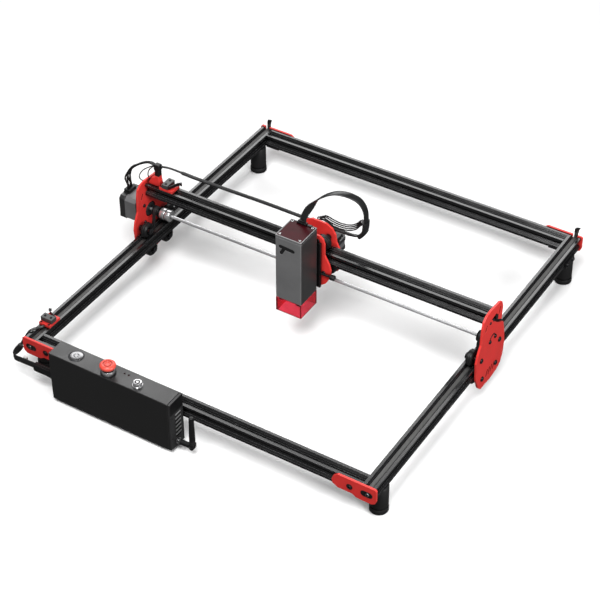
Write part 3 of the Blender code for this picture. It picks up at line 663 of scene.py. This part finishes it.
def build_buttons():
    place = upright_axis("power_button")
    top = span("power_button")[1].z
    show("power_button_cap", turned(ring_groove(9.7, 3.0, 3.9, top, 5.1), place, "Z", 56),
         "brushed", "power_button", smooth=True, replaces=("power_button",))
    collar = [(9.9, BOX_HIGH.z - 0.2), (11.4, BOX_HIGH.z - 0.2), (11.4, BOX_HIGH.z + 0.35),
              (10.9, BOX_HIGH.z + 0.7), (9.9, BOX_HIGH.z + 0.7)]
    show("power_button_ring", turned(collar, place, "Z", 56), "dark_steel", "frame", smooth=True)

    low, high = span("start_button")
    place = upright_axis("start_button")
    top = high.z
    cap = turned(ring_groove(6.2, 2.4, 3.7, top, top - low.z), place, "Z", 48)
    ring = turned(tube(2.5, 3.6, top - 0.45, top - 0.1), place, "Z", 40)
    show("start_button_cap", [(cap, 0), (ring, 1)], "button_steel plastic", "start_button",
         smooth=True, replaces=("start_button",))
    collar = [(6.35, BOX_HIGH.z - 0.2), (7.9, BOX_HIGH.z - 0.2), (7.9, BOX_HIGH.z + 0.7),
              (7.3, BOX_HIGH.z + 1.2), (6.35, BOX_HIGH.z + 1.2)]
    show("start_button_ring", turned(collar, place, "Z", 48), "button_steel", "frame", smooth=True)


def build_stop_button():
    low, high = span("estop_base")
    place = upright_axis("estop_base")
    flange = [(0, low.z - 0.3), (11.1, low.z - 0.3), (11.1, low.z + 1.6), (10.4, low.z + 2.2),
              (7.4, low.z + 2.2), (7.4, low.z + 1.6), (0, low.z + 1.6)]
    neck = [(7, low.z + 2.1), (9.6, low.z + 2.1), (9.8, low.z + 3), (9.4, high.z - 0.6),
            (8.8, high.z), (7, high.z)]
    show("stop_base", [(turned(flange, place, "Z", 56), 1), turned(neck, place, "Z", 56)],
         "button_steel plastic", "frame", smooth=True,
         replaces=("estop_base",))
    low, high = span("estop_head")
    rise = high.z - low.z
    cap = [(0, 0), (10.2, 0), (11.1, 0.5), (11.6, 1.4), (11.6, 3.5), (11.2, 4.5), (10.2, 5.5),
           (8.6, 6.2), (7.7, rise), (7.0, rise - 0.25), (6.5, rise - 1.5), (4.9, rise - 1.5),
           (4.4, rise - 0.3), (3.7, rise - 0.2), (3.2, rise - 1.2), (0, rise - 1.3)]
    cap = [(radius, low.z + along) for radius, along in cap]
    stem = tube(0, 6.6, low.z - 4.3, low.z + 0.2)
    show("stop_head", [turned(cap, place, "Z", 64), (turned(stem, place, "Z", 40), 1)],
         "stop button_steel", "stop_button", smooth=True, replaces=("estop_head",))


def build_box_cable():
    """Flat lead from a plug on the box round the corner, then round into the rail's slot."""
    route = [(BOX_LOW.x - 0.3, BOX_MIDDLE, 38), (-245, BOX_MIDDLE, 37.5),
             (-270, BOX_MIDDLE, 36), (-291, BOX_MIDDLE + 0.5, 34.5),
             (-301, BOX_MIDDLE + 1.5, 33.5), (-305, BOX_MIDDLE + 5, 35),
             (-303.5, BOX_MIDDLE + 9, 39), (-299.5, -318, 46), (-296.5, -313.5, 54),
             (-294.2, -308, 61.5), (-291.5, -302.5, 68), (-287.5, -297.5, 70.2),
             (-283.5, -292.5, 69.8), (-280.8, -288, 69.5), (-280, -284.5, 69.4)]

    def width(part):
        return 10.5 - 6.7 * eased(part, 0.62, 0.8)

    def thickness(part):
        return 2.6 + 0.6 * eased(part, 0.62, 0.8)

    def side(part):
        turn = eased(part, 0.55, 0.85)
        return (0.35 * turn, 0.75 * turn, 1 - 0.85 * turn)

    show("box_lead", swept(route, width, thickness, side, 2.0, 14), "ribbon", "frame", smooth=True,
         replaces=("box_cable",))
    plug = [(BOX_LOW.x, 27.5), (BOX_LOW.x, 42.5), (-232, 42.5), (-240, 41), (-262, 41.5),
            (-264, 40), (-264, 29.5), (-262, 28.5), (-240, 29), (-232, 27.5)]
    show("box_plug", sheet(plug, BOX_MIDDLE - 3.6, BOX_MIDDLE + 3.6, "Y"), "plastic", "frame",
         bevel=0.8)
    show("lead_clip", block(-285, -279, BOX_MIDDLE + 0.6, BOX_MIDDLE + 4.6, 30, 42.5), "white",
         "frame", bevel=0.5)


def build_aerial():
    x, y, _ = middle("aerial_whip")
    z = span("aerial_whip")[0].z + 3.6
    mast = [(0, z + 5.4), (4.0, z + 5.4), (4.4, z + 6), (4.4, z + 9), (4.15, z + 9.4),
            (4.15, z + 10), (4.4, z + 10.4), (4.4, z + 20), (3.6, z + 53), (3.2, z + 54.5),
            (2.4, z + 55), (0, z + 55)]
    fork = []
    for way in (-1, 1):
        cheek = [(x - 3.7, z + 7), (x + 3.7, z + 7)]
        cheek += [(x + 3.7 * math.cos(a), z - 3.7 * math.sin(a))
                  for a in (math.pi * i / 16 for i in range(17))]
        fork.append(sheet(cheek, y + way * 1.9, y + way * 4.2, "Y"))
        pin = [(0, way * 4.2), (1.4, way * 4.2), (1.2, way * 4.7), (0, way * 4.7)]
        fork.append((turned(pin, (x, y, z), "Y", 20), 1))
    show("aerial_mast", [turned(mast, (x, y, 0), "Z", 40), *fork], "plastic dark_steel",
         "aerial_whip", smooth=True, replaces=("aerial_whip",))
    nut = [(4.9, 0), (5.2, 0.4), (5.2, 4.2), (4.9, 4.6), (3, 4.6), (3, 0)]
    show("aerial_nut", turned(nut, (BOX_END, y, z), "X", 6), "button_steel", "frame")


# ---------------------------------------------------------------- wheels

def wheel_pieces(centre, axis):
    """Grooved tyre with a bearing and its inner ring showing in the hub."""
    tyre = [(7.4, -4.4), (7.8, -5.1), (10.05, -5.1), (12.2, -2.95), (12.2, -0.35), (11.95, 0),
            (12.2, 0.35), (12.2, 2.95), (10.05, 5.1), (7.8, 5.1), (7.4, 4.4)]
    bearing = [(3.6, -4.1), (4.7, -4.1), (4.9, -3.8), (6.3, -3.8), (6.5, -4.1), (7.45, -4.1),
               (7.45, 4.1), (6.5, 4.1), (6.3, 3.8), (4.9, 3.8), (4.7, 4.1), (3.6, 4.1)]
    return [turned(tyre, centre, axis, 48), (turned(bearing, centre, axis, 40), 1)]


def build_wheels():
    for name in sorted(frame["nodes"]):
        if "_wheel_" in name:
            pieces = wheel_pieces(middle(name), "X" if name[0] == "y" else "Y")
            show(f"{name}_detail", pieces, "plastic dark_steel", name,
                 smooth=True, replaces=(name,))


# ---------------------------------------------------------------- gantry

GANTRY_Z = middle("gantry_beam").z
GANTRY_TOP = span("gantry_beam")[1].z
PLATE_X = span("gantry_plate_right")[1].x - SHEET
SHAFT_Z = middle("sync_shaft").z
WHEEL_RISE = middle("y_wheel_left_upper_front").z - RAIL_Z
UPPER_Z = RAIL_Z + WHEEL_RISE
LOWER_Z = RAIL_Z - WHEEL_RISE
WHEEL_FACE = 5.6
MOTOR_HOLE = 15.5
MOTOR_CORNERS = [(u, v) for u in (-MOTOR_HOLE, MOTOR_HOLE) for v in (-MOTOR_HOLE, MOTOR_HOLE)]
AXLES = ((-28, UPPER_Z), (28, UPPER_Z), (-21, LOWER_Z), (21, LOWER_Z))


def build_gantry_fasteners():
    """Axle screws, spacers and nuts, other screws, dark red sheets as painted shade in the plates'
    slots, and a dark arc as painted shade in the bearing's arc groove.
    """
    screws = []
    spacers = []
    for _, sign in SIDES:
        outer = sign * (PLATE_X + SHEET)
        spacer = tube(2.6, 4.45, sign * (PLATE_X + 0.1), sign * (RAIL_X + WHEEL_FACE))
        nut = [(r, sign * (RAIL_X - WHEEL_FACE - along))
               for r, along in ((0, 0), (5.2, 0), (5.2, 3), (4.3, 3.5), (0, 3.5))]
        for y, z in AXLES:
            screws.append(socket_screw((outer, y, z), "X", sign, 3.9, 2.3))
            spacers.append(turned(spacer, (0, y, z), "X", 6 if z < RAIL_Z else 28))
            spacers.append(turned(nut, (0, y, z), "X", 6))
        for y, z in ((-5.2, GANTRY_Z), (5.2, GANTRY_Z - 1)):
            screws.append(socket_screw((outer, y - 2, z - 6), "X", sign, 2.2, 1.4))
    for y, z in MOTOR_CORNERS:
        screws.append(socket_screw((-PLATE_X, y, SHAFT_Z + z), "X", 1, 2.7, 2))
    for y in (-4, 12.2):
        screws.append(socket_screw((PLATE_X + SHEET, y, SHAFT_Z - 1), "X", 1, 3.0, 2))
    show("gantry_screws", screws, "dark_steel", "gantry", smooth=True)
    show("axle_spacers", spacers, "dark_steel", "gantry", smooth=True)
    # Dark red sheets inside the plates' slots: painted shade in the slots.
    floors = []
    for _, sign in SIDES:
        floors += [sheet(stadium(-5.5 + 6.8 * i, 37, 12.9, 3.3, 70), sign * (PLATE_X + 0.2),
                         sign * (PLATE_X + SHEET - 1.1), "X") for i in range(4)]
    show("plate_slot_painted_shade", floors, "dark_red", "gantry")
    # Dark arc on the right plate: painted shade in its arc groove.
    arc = [(4.1 + r * math.cos(a), SHAFT_Z - 1 + r * math.sin(a))
           for r, turn in ((9.2, 1), (7.0, -1))
           for a in (math.radians(90 + turn * (i - 6) * 11) for i in range(13))]
    show("bearing_groove_shade", sheet(arc, PLATE_X + SHEET, PLATE_X + SHEET + 0.35, "X"), "dark_steel",
         "gantry")


def build_beam_ends():
    """Black bracket in each side plate's claw, holding the beam and running down the edge."""
    brackets = []
    screws = []
    outline = [(-6, 131), (-3, 139), (12, 139), (19, 128), (30, 114), (40, 103), (47, 91),
               (43, 86), (35, 97), (16, 110), (4, 118)]
    for _, sign in SIDES:
        inner = sign * (PLATE_X - 5)
        brackets.append(sheet(outline, inner, sign * (PLATE_X - 0.3), "X"))
        brackets.append(block(inner, sign * (PLATE_X + SHEET + 1.4), 9, 15, GANTRY_Z - 12,
                              GANTRY_Z - 4))
        screws.append(socket_screw((sign * (PLATE_X - 0.5), 5, GANTRY_Z - 3), "X", sign, 2.8, 2.2))
        screws.append(socket_screw((sign * (PLATE_X - 0.5), 42, 91), "X", sign, 2.4, 2))
    show("beam_end_brackets", brackets, "plastic", "gantry", bevel=0.6)
    show("beam_end_screws", screws, "dark_steel", "gantry", smooth=True)


def toothed_rim(centre, axis, low, high, radius=6.35, teeth=20):
    """Belt teeth of a pulley, as a gear outline as long as low to high."""
    u, v = centre
    outline = []
    for i in range(teeth):
        for step, r in ((0.0, radius), (0.5, radius), (0.55, radius - 0.75), (0.95, radius - 0.75)):
            a = 2 * math.pi * (i + step) / teeth
            outline.append((u + r * math.cos(a), v + r * math.sin(a)))
    return sheet(outline, low, high, axis)


def pulley_rim(bore, start):
    """Flange of a belt pulley, 1 mm thick from start on."""
    return [(bore, start), (7.9, start), (8.2, start + 0.3), (8.2, start + 0.7),
            (7.9, start + 1), (bore, start + 1)]


def on_shaft(profile, segments):
    return turned(profile, (0, 0, SHAFT_Z), "X", segments)


def build_shaft():
    shaft = [(0, -RAIL_X - 11), (2.2, -RAIL_X - 11), (2.5, -RAIL_X - 10.6),
             (2.5, RAIL_X + 8.6), (2.2, RAIL_X + 9), (0, RAIL_X + 9)]
    parts = [on_shaft(shaft, 40)]
    for _, sign in SIDES:
        x = sign * RAIL_X
        parts.append((toothed_rim((0, SHAFT_Z), "X", x - 4.3, x + 4.3), 1))
        for start in (x - 5.2, x + 4.2):
            parts.append((on_shaft(pulley_rim(2.4, start), 40), 1))
    show("sync_shaft_detail", parts, "steel pulley", "drive_shaft", smooth=True,
         replaces=("sync_shaft",))

    x = middle("shaft_coupler").x
    half = []
    for way in (-1, 1):
        profile = [(2.8, way * 0.45), (8.3, way * 0.45), (8.8, way * 0.9), (9.0, way * 1.4),
                   (9.0, way * 8.0), (8.7, way * 8.5), (8.2, way * 8.7), (2.8, way * 8.7)]
        half.append(on_shaft([(r, x + a) for r, a in profile], 48))
        for turn in (0.5, 0.5 + math.pi):
            spot = Vector((x + way * 4.8, 7.9 * math.cos(turn), SHAFT_Z + 7.9 * math.sin(turn)))
            screw = socket_screw((0, 0, 0), "Z", 1, 1.9, 1.6, 18)
            aim = Vector((0, math.cos(turn), math.sin(turn))).to_track_quat("Z", "X").to_matrix()
            bmesh.ops.transform(screw, matrix=Matrix.Translation(spot) @ aim.to_4x4(),
                                verts=screw.verts)
            half.append((screw, 1))
    half.append((on_shaft(tube(2.8, 7.9, x - 0.6, x + 0.6), 32), 1))
    show("shaft_coupler_detail", half, "button_steel dark_steel", "drive_shaft", smooth=True,
         replaces=("shaft_coupler",))


def build_shaft_bearing():
    """Bearing between the right plate and its pulley."""
    ring = [(2.9, PLATE_X - 4.4), (7.4, PLATE_X - 4.4), (8, PLATE_X - 3.8), (8, PLATE_X - 0.1),
            (2.9, PLATE_X - 0.1)]
    show("shaft_bearing", on_shaft(ring, 36), "dark_steel", "gantry", smooth=True)


def build_belt_loops():
    """Stretch of each rail belt that climbs from the slot over its pulley, between the wheels."""
    low = RAIL_TOP - 3.6
    for side, sign in SIDES:
        route = [(-33, low), (-25, low), (-19, low + 1), (-14.2, low + 5.5), (-11, low + 13),
                 (-8.6, SHAFT_Z - 7)]
        arch = [(-7.4 * math.cos(a), SHAFT_Z + 7.4 * math.sin(a))
                for a in (math.pi * i / 8 for i in range(9))]
        route = route + arch + [(-y, z) for y, z in reversed(route)]
        points = [(sign * RAIL_X, y, z) for y, z in route]
        show(f"belt_loop_{side}", swept(points, 6, 1.3, lambda part: (1, 0, 0), 1.2, 8), "rubber",
             "gantry", smooth=True)


def motor_shell(half, low, high, axis, centre, cap):
    """Square stepper body: two end caps with chamfered corners and a laminated middle."""
    def square(size, cut):
        inner = size - cut
        ring = [(-inner, -size), (inner, -size), (size, -inner), (size, inner), (inner, size),
                (-inner, size), (-size, inner), (-size, -inner)]
        return [(centre[0] + u, centre[1] + v) for u, v in ring]
    parts = [sheet(square(half, 4), low, low + cap, axis),
             (sheet(square(half - 0.3, 5.2), low + cap, high - cap, axis), 1),
             sheet(square(half, 4), high - cap, high, axis)]
    return joined(parts)


def build_y_motor():
    low, high = span("y_motor")
    half = (high.y - low.y) / 2
    face = -(PLATE_X + SHEET + 0.3)
    show("y_motor_shell", motor_shell(half, low.x, face, "X", (0, SHAFT_Z), 9.5), "motor laminate",
         "gantry", bevel=0.5, replaces=("y_motor",))
    boss = [(3, face - 1), (11, face - 1), (11, -PLATE_X - 0.6), (10.4, -PLATE_X), (3, -PLATE_X)]
    end = tube(0, 2.5, -PLATE_X - 1, -268)
    show("y_motor_boss", [on_shaft(boss, 48), (on_shaft(end, 24), 1)], "motor steel", "gantry",
         smooth=True)
    screws = [socket_screw((low.x + 0.05, y, SHAFT_Z + z), "X", -1, 2.1, 0.6)
              for y, z in MOTOR_CORNERS]
    show("y_motor_screws", screws, "dark_steel", "gantry", smooth=True)
    plug = [block(-334.5, -324, -8.5, 8.5, high.z - 1, high.z + 5.5),
            block(-335, -323.4, -9.5, 9.5, high.z - 2, high.z + 1.2)]
    show("y_motor_plug", plug, "plastic", "gantry", bevel=0.5)


def build_motor_wires():
    """Wires from the clip over to the motor's plug, and two thin ones to the limit switch."""
    top = span("y_motor")[1].z + 5
    bundle = []
    for offset, reach in ((-5.4, 1.2), (-1.9, -0.8), (1.9, 0.9), (5.4, -1.0)):
        near = offset * 0.3
        route = [(-279, near, 182), (-285, near, 184), (-294, near + reach, 181.5),
                 (-303, near + reach, 176.5), (-312, near + reach, 170),
                 (-321, 0.5 * offset, 162.5 + reach), (-328 - 0.4 * reach, 0.7 * offset, 152),
                 (-332 - reach, 0.9 * offset, 140), (-330 + reach, offset, 130),
                 (-329.5, offset, top)]
        bundle.append(swept(route, 2.9, 2.9, None, 2.5, 10))
    show("y_motor_wires", bundle, "cable", "gantry", smooth=True)
    thin = [[(-279, -1, 181), (-287, -1.5, 176.5), (-299, -2, 167), (-307, -2, 155),
             (-308, -1, 147), (-302, 0, 144), (-294, 2, 146), (-286, 3, 148.4)],
            [(-279, 1, 180), (-285, 1.5, 175), (-292, 2, 166), (-294.5, 2.5, 156),
             (-291, 3, 149.6), (-283, 4, 148.3), (-270, 5.5, 148.2), (-262, 5, 151.5)]]
    show("switch_wires", [swept(route, 1.7, 1.7, None, 2.5, 8) for route in thin], "cable",
         "gantry", smooth=True)


def build_cable_bracket():
    """Red foot on the beam with the black cable clip standing on it."""
    low, high = span("cable_bracket")
    plate = [(-289, 0.3), (-267.5, 0.3), (-267.5, 3), (-269.5, 13), (-269.5, 18.5), (-276.5, 18.5),
             (-276.5, 16), (-283, 13), (-288, 3.5), (-289, 3)]
    plate = [(x, GANTRY_TOP + z) for x, z in plate]
    show("bracket_plate", sheet(plate, low.y, high.y, "Y"), "red", "gantry", bevel=0.5,
         replaces=("cable_bracket",))
    clip = [(-276.9, 18), (-269.2, 18), (-269.2, 28), (-267.6, 30), (-267.6, 37), (-269, 38.6),
            (-276.9, 38.6), (-278.4, 37), (-278.4, 30), (-276.9, 28)]
    clip = [(x, GANTRY_TOP + z) for x, z in clip]
    show("cable_clip", sheet(clip, -4.2, 4.2, "Y"), "plastic", "gantry", bevel=1.1)


def build_switches():
    """Screws of each switch block and of its mount, and the roller at each lever's tip."""
    for name, body, lever_body in (("x_limit", "gantry", "x_limit_lever"),
                                   ("y_limit", "frame", "y_limit_lever")):
        low, high = span(f"{name}_switch")
        centre = middle(f"{name}_switch")
        long_y = high.y - low.y > high.x - low.x
        parts = []
        for way in (-1, 1):
            x = centre.x + (0 if long_y else way * 5.3)
            y = centre.y + (way * 5.3 if long_y else 0)
            parts.append(socket_screw((x, y, high.z - 0.3), "Z", 1, 1.9, 1.3, 18))
            mount = span(f"{name}_mount")[1].z
            x = centre.x + (-8.3 if long_y else way * 7)
            y = centre.y + (way * 7 if long_y else -8.3)
            parts.append(socket_screw((x, y, mount - 0.2), "Z", 1, 1.6, 1.2, 18))
        show(f"{name}_screws", parts, "dark_steel", body, smooth=True)
        lever_low, lever_high = span(f"{name}_lever")
        tip = Vector((lever_high.x - 2.6, lever_high.y - 0.4, 0)) if long_y else \
            Vector((lever_low.x + 0.4, lever_high.y - 2.6, 0))
        roller = tube(0, 1.7, lever_low.z + 0.4, lever_high.z - 0.4)
        show(f"{name}_roller", turned(roller, (tip.x, tip.y, 0), "Z", 20), "plastic", lever_body,
             smooth=True)


# ---------------------------------------------------------------- cables to the head

CARRIAGE_X = middle("x_pulley").x
JOIN_X = CARRIAGE_X + 38


def build_cable_loom():
    route = [(-267, 0.8, 182.4), (-261, 2.2, 183), (-254, 5, 181.8), (-241, 11, 176.5),
             (-220, 17, 170.5), (-190, 21.5, 166.8), (-159, 24, 165.3), (-100, 26, 165),
             (-38, 26, 165), (0, 26, 165), (JOIN_X - 0.3, 26, 165)]
    sleeve_start = 0.1

    def width(part):
        return 3.1 + 2.3 * eased(part, sleeve_start, sleeve_start + 0.006)

    loom = show("cable_loom_sleeve", swept(route, width, width, None, 2.0, 14), "sleeve",
                smooth=True, replaces=("cable_loom",))
    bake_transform(loom)


def build_head_loop():
    route = [(JOIN_X, 26, 165), (50, 26, 165.5), (62, 26, 168.5), (70, 26, 176.5),
             (74, 25, 192), (75.5, 23, 210), (74, 20, 226), (68, 16, 239), (57.5, 11, 246.5),
             (47, 6, 250), (36, 1, 250), (24.5, -5, 245.5), (13.5, -11, 236.5),
             (5.5, -17, 224), (0.5, -21.5, 213), (-1, -25.2, 204), (-1, -26.2, 201)]

    def width(part):
        return 5.6 + 6.4 * eased(part, 0.12, 0.2) - 1.5 * eased(part, 0.6, 0.75)

    def thickness(part):
        return 5.0 - 2.6 * eased(part, 0.02, 0.1) + 0.8 * eased(part, 0.15, 0.2) \
            - 1.0 * eased(part, 0.55, 0.7)

    def side(part):
        turn = eased(part, 0.72, 0.98)
        return (turn, 1 - turn, 0)

    loop = show("head_ribbon", swept(route, width, thickness, side, 2.0, 16), "ribbon", smooth=True,
                replaces=("head_loop",))
    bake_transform(loop)
    cuff = [(65.5, 26, 170), (71.5, 25.8, 178), (74, 25, 188), (74.9, 24.2, 200)]
    cuff = show("ribbon_cuff", swept(cuff, 15.5, 6.4, lambda part: (0, 1, 0), 1.5, 16), "rubber",
                smooth=True)
    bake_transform(cuff)


def build_x_motor():
    low, high = span("x_motor")
    half = (high.x - low.x) / 2
    x, y, _ = middle("x_motor")
    show("x_motor_shell", motor_shell(half, low.z, high.z, "Z", (x, y), 6.5), "motor laminate",
         "carriage", bevel=0.5, replaces=("x_motor",))
    boss = tube(0, 11, high.z - 0.5, high.z + 0.02)
    show("x_motor_boss", turned(boss, (x, y, 0), "Z", 40), "dark_steel", "carriage", smooth=True)
    screws = [socket_screw((x + dx, y + dy, high.z), "Z", 1, 2.4, 1.8)
              for dx, dy in MOTOR_CORNERS]
    show("x_motor_screws", screws, "dark_steel", "carriage", smooth=True)
    plug = [block(x + 14.5, x + 20.6, y - 8, y + 6, high.z + 2.4, high.z + 10),
            block(x - 14, x + 2, high.y - 5.5, high.y - 0.5, high.z, high.z + 8)]
    show("x_motor_plug", plug, "plastic", "carriage", bevel=0.5)
    wires = []
    for i in range(4):
        step = i - 1.5
        start = x - 6 + 3.2 * step
        route = [(start, high.y - 3, high.z + 6), (start - 1, high.y - 6, high.z + 16),
                 (start - 1.5, 43, high.z + 27), (start - 1, 34 + step, 167 + 1.2 * step),
                 (start + 1, 31 + step, 174.5 + 1.5 * step),
                 (start + 7, 30 + step, 176 + 1.5 * step),
                 (15 + 2 * step, 29 + step, 173 + 2.5 * step), (30, 28 + step, 172.5 + 2.6 * step),
                 (46, 27 + step, 176 + 2.6 * step), (58, 26 + step, 184 + 2.8 * step),
                 (66, 25 + step, 194 + 2.6 * step), (74, 24 + step, 199 + step)]
        wires.append(swept(route, 2.0, 2.0, None, 2.5, 8))
    show("x_motor_wires", wires, "cable", "carriage", smooth=True)


def build_carriage_fasteners():
    """Roller spacers and the plates' screws."""
    back_face = span("carriage_back_plate")[1].y
    front_face = span("carriage_front_plate")[0].y
    inner = back_face - SHEET
    spacers = []
    screws = []
    upper = GANTRY_Z + WHEEL_RISE
    lower = GANTRY_Z - WHEEL_RISE
    for x, z in ((-17, upper), (17, upper), (-28, lower), (28, lower)):
        x += CARRIAGE_X
        for way in (-1, 1):
            spacer = tube(2.6, 4.5, way * 5.9, way * (inner - 0.1))
            spacers.append(turned(spacer, (x, 0, z), "Y", 28))
        screws.append(socket_screw((x, back_face, z), "Y", 1, 3.9, 2.3))
    for x, z in ((CARRIAGE_X - 28, lower), (CARRIAGE_X + 29, lower),
                 (CARRIAGE_X - 17, GANTRY_Z + 33), (CARRIAGE_X + 19, GANTRY_Z + 35.5)):
        screws.append(socket_screw((x, front_face, z), "Y", -1, 2.7, 1.7))
    show("roller_spacers", spacers, "dark_steel", "carriage", smooth=True)
    show("carriage_screws", screws, "dark_steel", "carriage", smooth=True)


def build_x_pulley():
    low, high = span("x_pulley")
    y = middle("x_pulley").y
    parts = [toothed_rim((CARRIAGE_X, y), "Z", low.z + 0.9, high.z - 0.9)]
    for z in (low.z, high.z - 1):
        parts.append(turned(pulley_rim(0, z), (CARRIAGE_X, y, 0), "Z", 40))
    show("x_pulley_detail", parts, "pulley", "x_drive_pulley", smooth=True, replaces=("x_pulley",))


# ---------------------------------------------------------------- laser head

def build_head_details():
    low, high = span("laser_cover")
    body_low, body_high = span("laser_body")
    left, right, front, back = low.x, high.x, low.y, high.y
    lid = sheet([(left, front), (right, front), (right, back), (left, back)], low.z, high.z, "Z",
                [[(left + 1.5, front + 1.5), (right - 1.5, front + 1.5),
                  (right - 1.5, back - 1.5), (left + 1.5, back - 1.5)]])
    panel = sheet([(left + 1.7, front + 1.7), (right - 1.7, front + 1.7), (right - 1.7, back - 1.7),
                   (left + 1.7, back - 1.7)], low.z + 0.1, high.z - 0.35, "Z")
    show("head_lid", [(lid, 1), (panel, 0)], "cover head", "laser_head", bevel=0.25,
         replaces=("laser_cover",))
    screws = [socket_screw((x, y, high.z - 0.4), "Z", 1, 2.1, 1.2)
              for x in (left + 4.8, right - 4.8) for y in (front + 4.8, back - 4.8)]
    show("head_screws", screws, "button_steel", "laser_head", smooth=True)
    socket = [block(-8.5, 7.5, back - 5.2, back + 0.8, high.z - 0.5, high.z + 2.6),
              block(-6.5, 5.5, back - 3.8, back - 0.2, high.z + 2, high.z + 5.2)]
    socket.append(block(8.2, 15.5, back - 4.2, back + 0.4, high.z - 0.4, high.z + 1.2))
    show("head_socket", socket, "plastic", "laser_head", bevel=0.5)
    nozzle = [(3.2, body_low.z - 9), (4.2, body_low.z - 9), (8.5, body_low.z - 3),
              (10.5, body_low.z - 2.4), (10.5, body_low.z + 0.2), (3.2, body_low.z + 0.2)]
    show("head_nozzle", turned(nozzle, upright_axis("laser_cover"), "Z", 40), "brass",
         "laser_head", smooth=True)
    vents = [block(left - 0.06, left + 0.2, front + 9 + 5 * i, front + 11.4 + 5 * i,
                   body_high.z - 46, body_high.z - 14) for i in range(6)]
    show("head_side_vents", vents, "rubber", "laser_head")
    floors = [sheet(stadium(left + 19, body_high.z - 16, 26.6, 6.1, -4), front + 0.35,
                    front + 1.55, "Y"),
              sheet(stadium(left + 12, body_high.z - 22, 14.6, 5.1, 62), front + 0.36,
                    front + 1.54, "Y")]
    show("head_slot_floor", floors, "rubber", "laser_head")
    tabs = [block(x - 3, x + 3, front - 0.06, front + 0.3, body_low.z - 2.2, body_low.z - 0.35)
            for x in (left + 8, right - 5)]
    show("shield_tabs", tabs, "dark_steel", "laser_head")


def build_lock_knob():
    low, high = span("lock_knob")
    _, y, z = middle("lock_knob")
    stem = tube(0, 1.5, low.x, high.x - 7.4)
    grip = []
    for radius, along in ((3.4, -8), (4.3, -7.2), (4.4, -6.4), (4.4, -1.4), (4.1, -0.5), (3, 0)):
        grip.append((radius, high.x + along))
    parts = [turned(stem, (0, y, z), "X", 20),
             (turned([(0, high.x - 8), *grip, (0, high.x)], (0, y, z), "X", 12), 1)]
    show("lock_knob_detail", parts, "dark_steel plastic", "lock_knob",
         bevel=0.3, replaces=("lock_knob",))


# ---------------------------------------------------------------- studio

def area_light(name, place, target, size, power, colour=(1, 1, 1)):
    data = bpy.data.lights.new(name, "AREA")
    data.shape = "RECTANGLE"
    data.size, data.size_y = size
    data.energy = power
    data.color = colour
    lamp = bpy.data.objects.new(name, data)
    bpy.context.collection.objects.link(lamp)
    lamp.location = place
    lamp.rotation_euler = (Vector(target) - Vector(place)).to_track_quat("-Z", "Y").to_euler()
    return lamp


def build_studio():
    mesh = bmesh.new()
    bmesh.ops.create_grid(mesh, x_segments=1, y_segments=1, size=14)
    data = bpy.data.meshes.new("floor")
    mesh.to_mesh(data)
    mesh.free()
    paper, tree, shader, place = new_material("pale_floor")
    shader.inputs["Specular IOR Level"].default_value = 0.0
    cloud = add_node(tree, "ShaderNodeTexNoise", {"Vector": place, "Scale": 3.0}).outputs["Fac"]
    tree.links.new(mixed(tree, cloud, (0.93, 0.93, 0.93, 1), (0.95, 0.95, 0.95, 1)),
                   shader.inputs["Base Color"])
    tree.links.new(scaled(tree, cloud, 0, 1, 0.85, 0.95), shader.inputs["Roughness"])
    data.materials.append(paper)
    floor = bpy.data.objects.new("floor", data)
    bpy.context.collection.objects.link(floor)
    floor.visible_glossy = False
    floor.visible_diffuse = False

    world = bpy.data.worlds.new("studio")
    world.use_nodes = True
    sky = world.node_tree.nodes["Background"]
    sky.inputs["Color"].default_value = (1, 1, 1, 1)
    sky.inputs["Strength"].default_value = 0.115
    bpy.context.scene.world = world
    area_light("key_light", (0.3, -1.3, 2.6), (0, 0, 0), (1.4, 1.4), 86)
    area_light("side_light", (1.25, -0.35, 0.75), (0.2, 0, 0.1), (0.7, 0.5), 13)
    area_light("back_softbox", (-1.7, 2.9, 2.5), (0, 0, 0), (3.4, 1.7), 84)
    bpy.context.scene.view_settings.view_transform = "Standard"


build_camera()
look = build_materials()
finish_cad_nodes()
build_box_cable()
build_cable_loom()
build_head_loop()
build_motor_wires()
build_feet()
build_frame_fasteners()
build_belt_tails()
build_box_details()
build_buttons()
build_stop_button()
build_aerial()
build_wheels()
build_gantry_fasteners()
build_beam_ends()
build_shaft()
build_shaft_bearing()
build_belt_loops()
build_y_motor()
build_cable_bracket()
build_switches()
build_x_motor()
build_carriage_fasteners()
build_x_pulley()
build_head_details()
build_lock_knob()
build_studio()
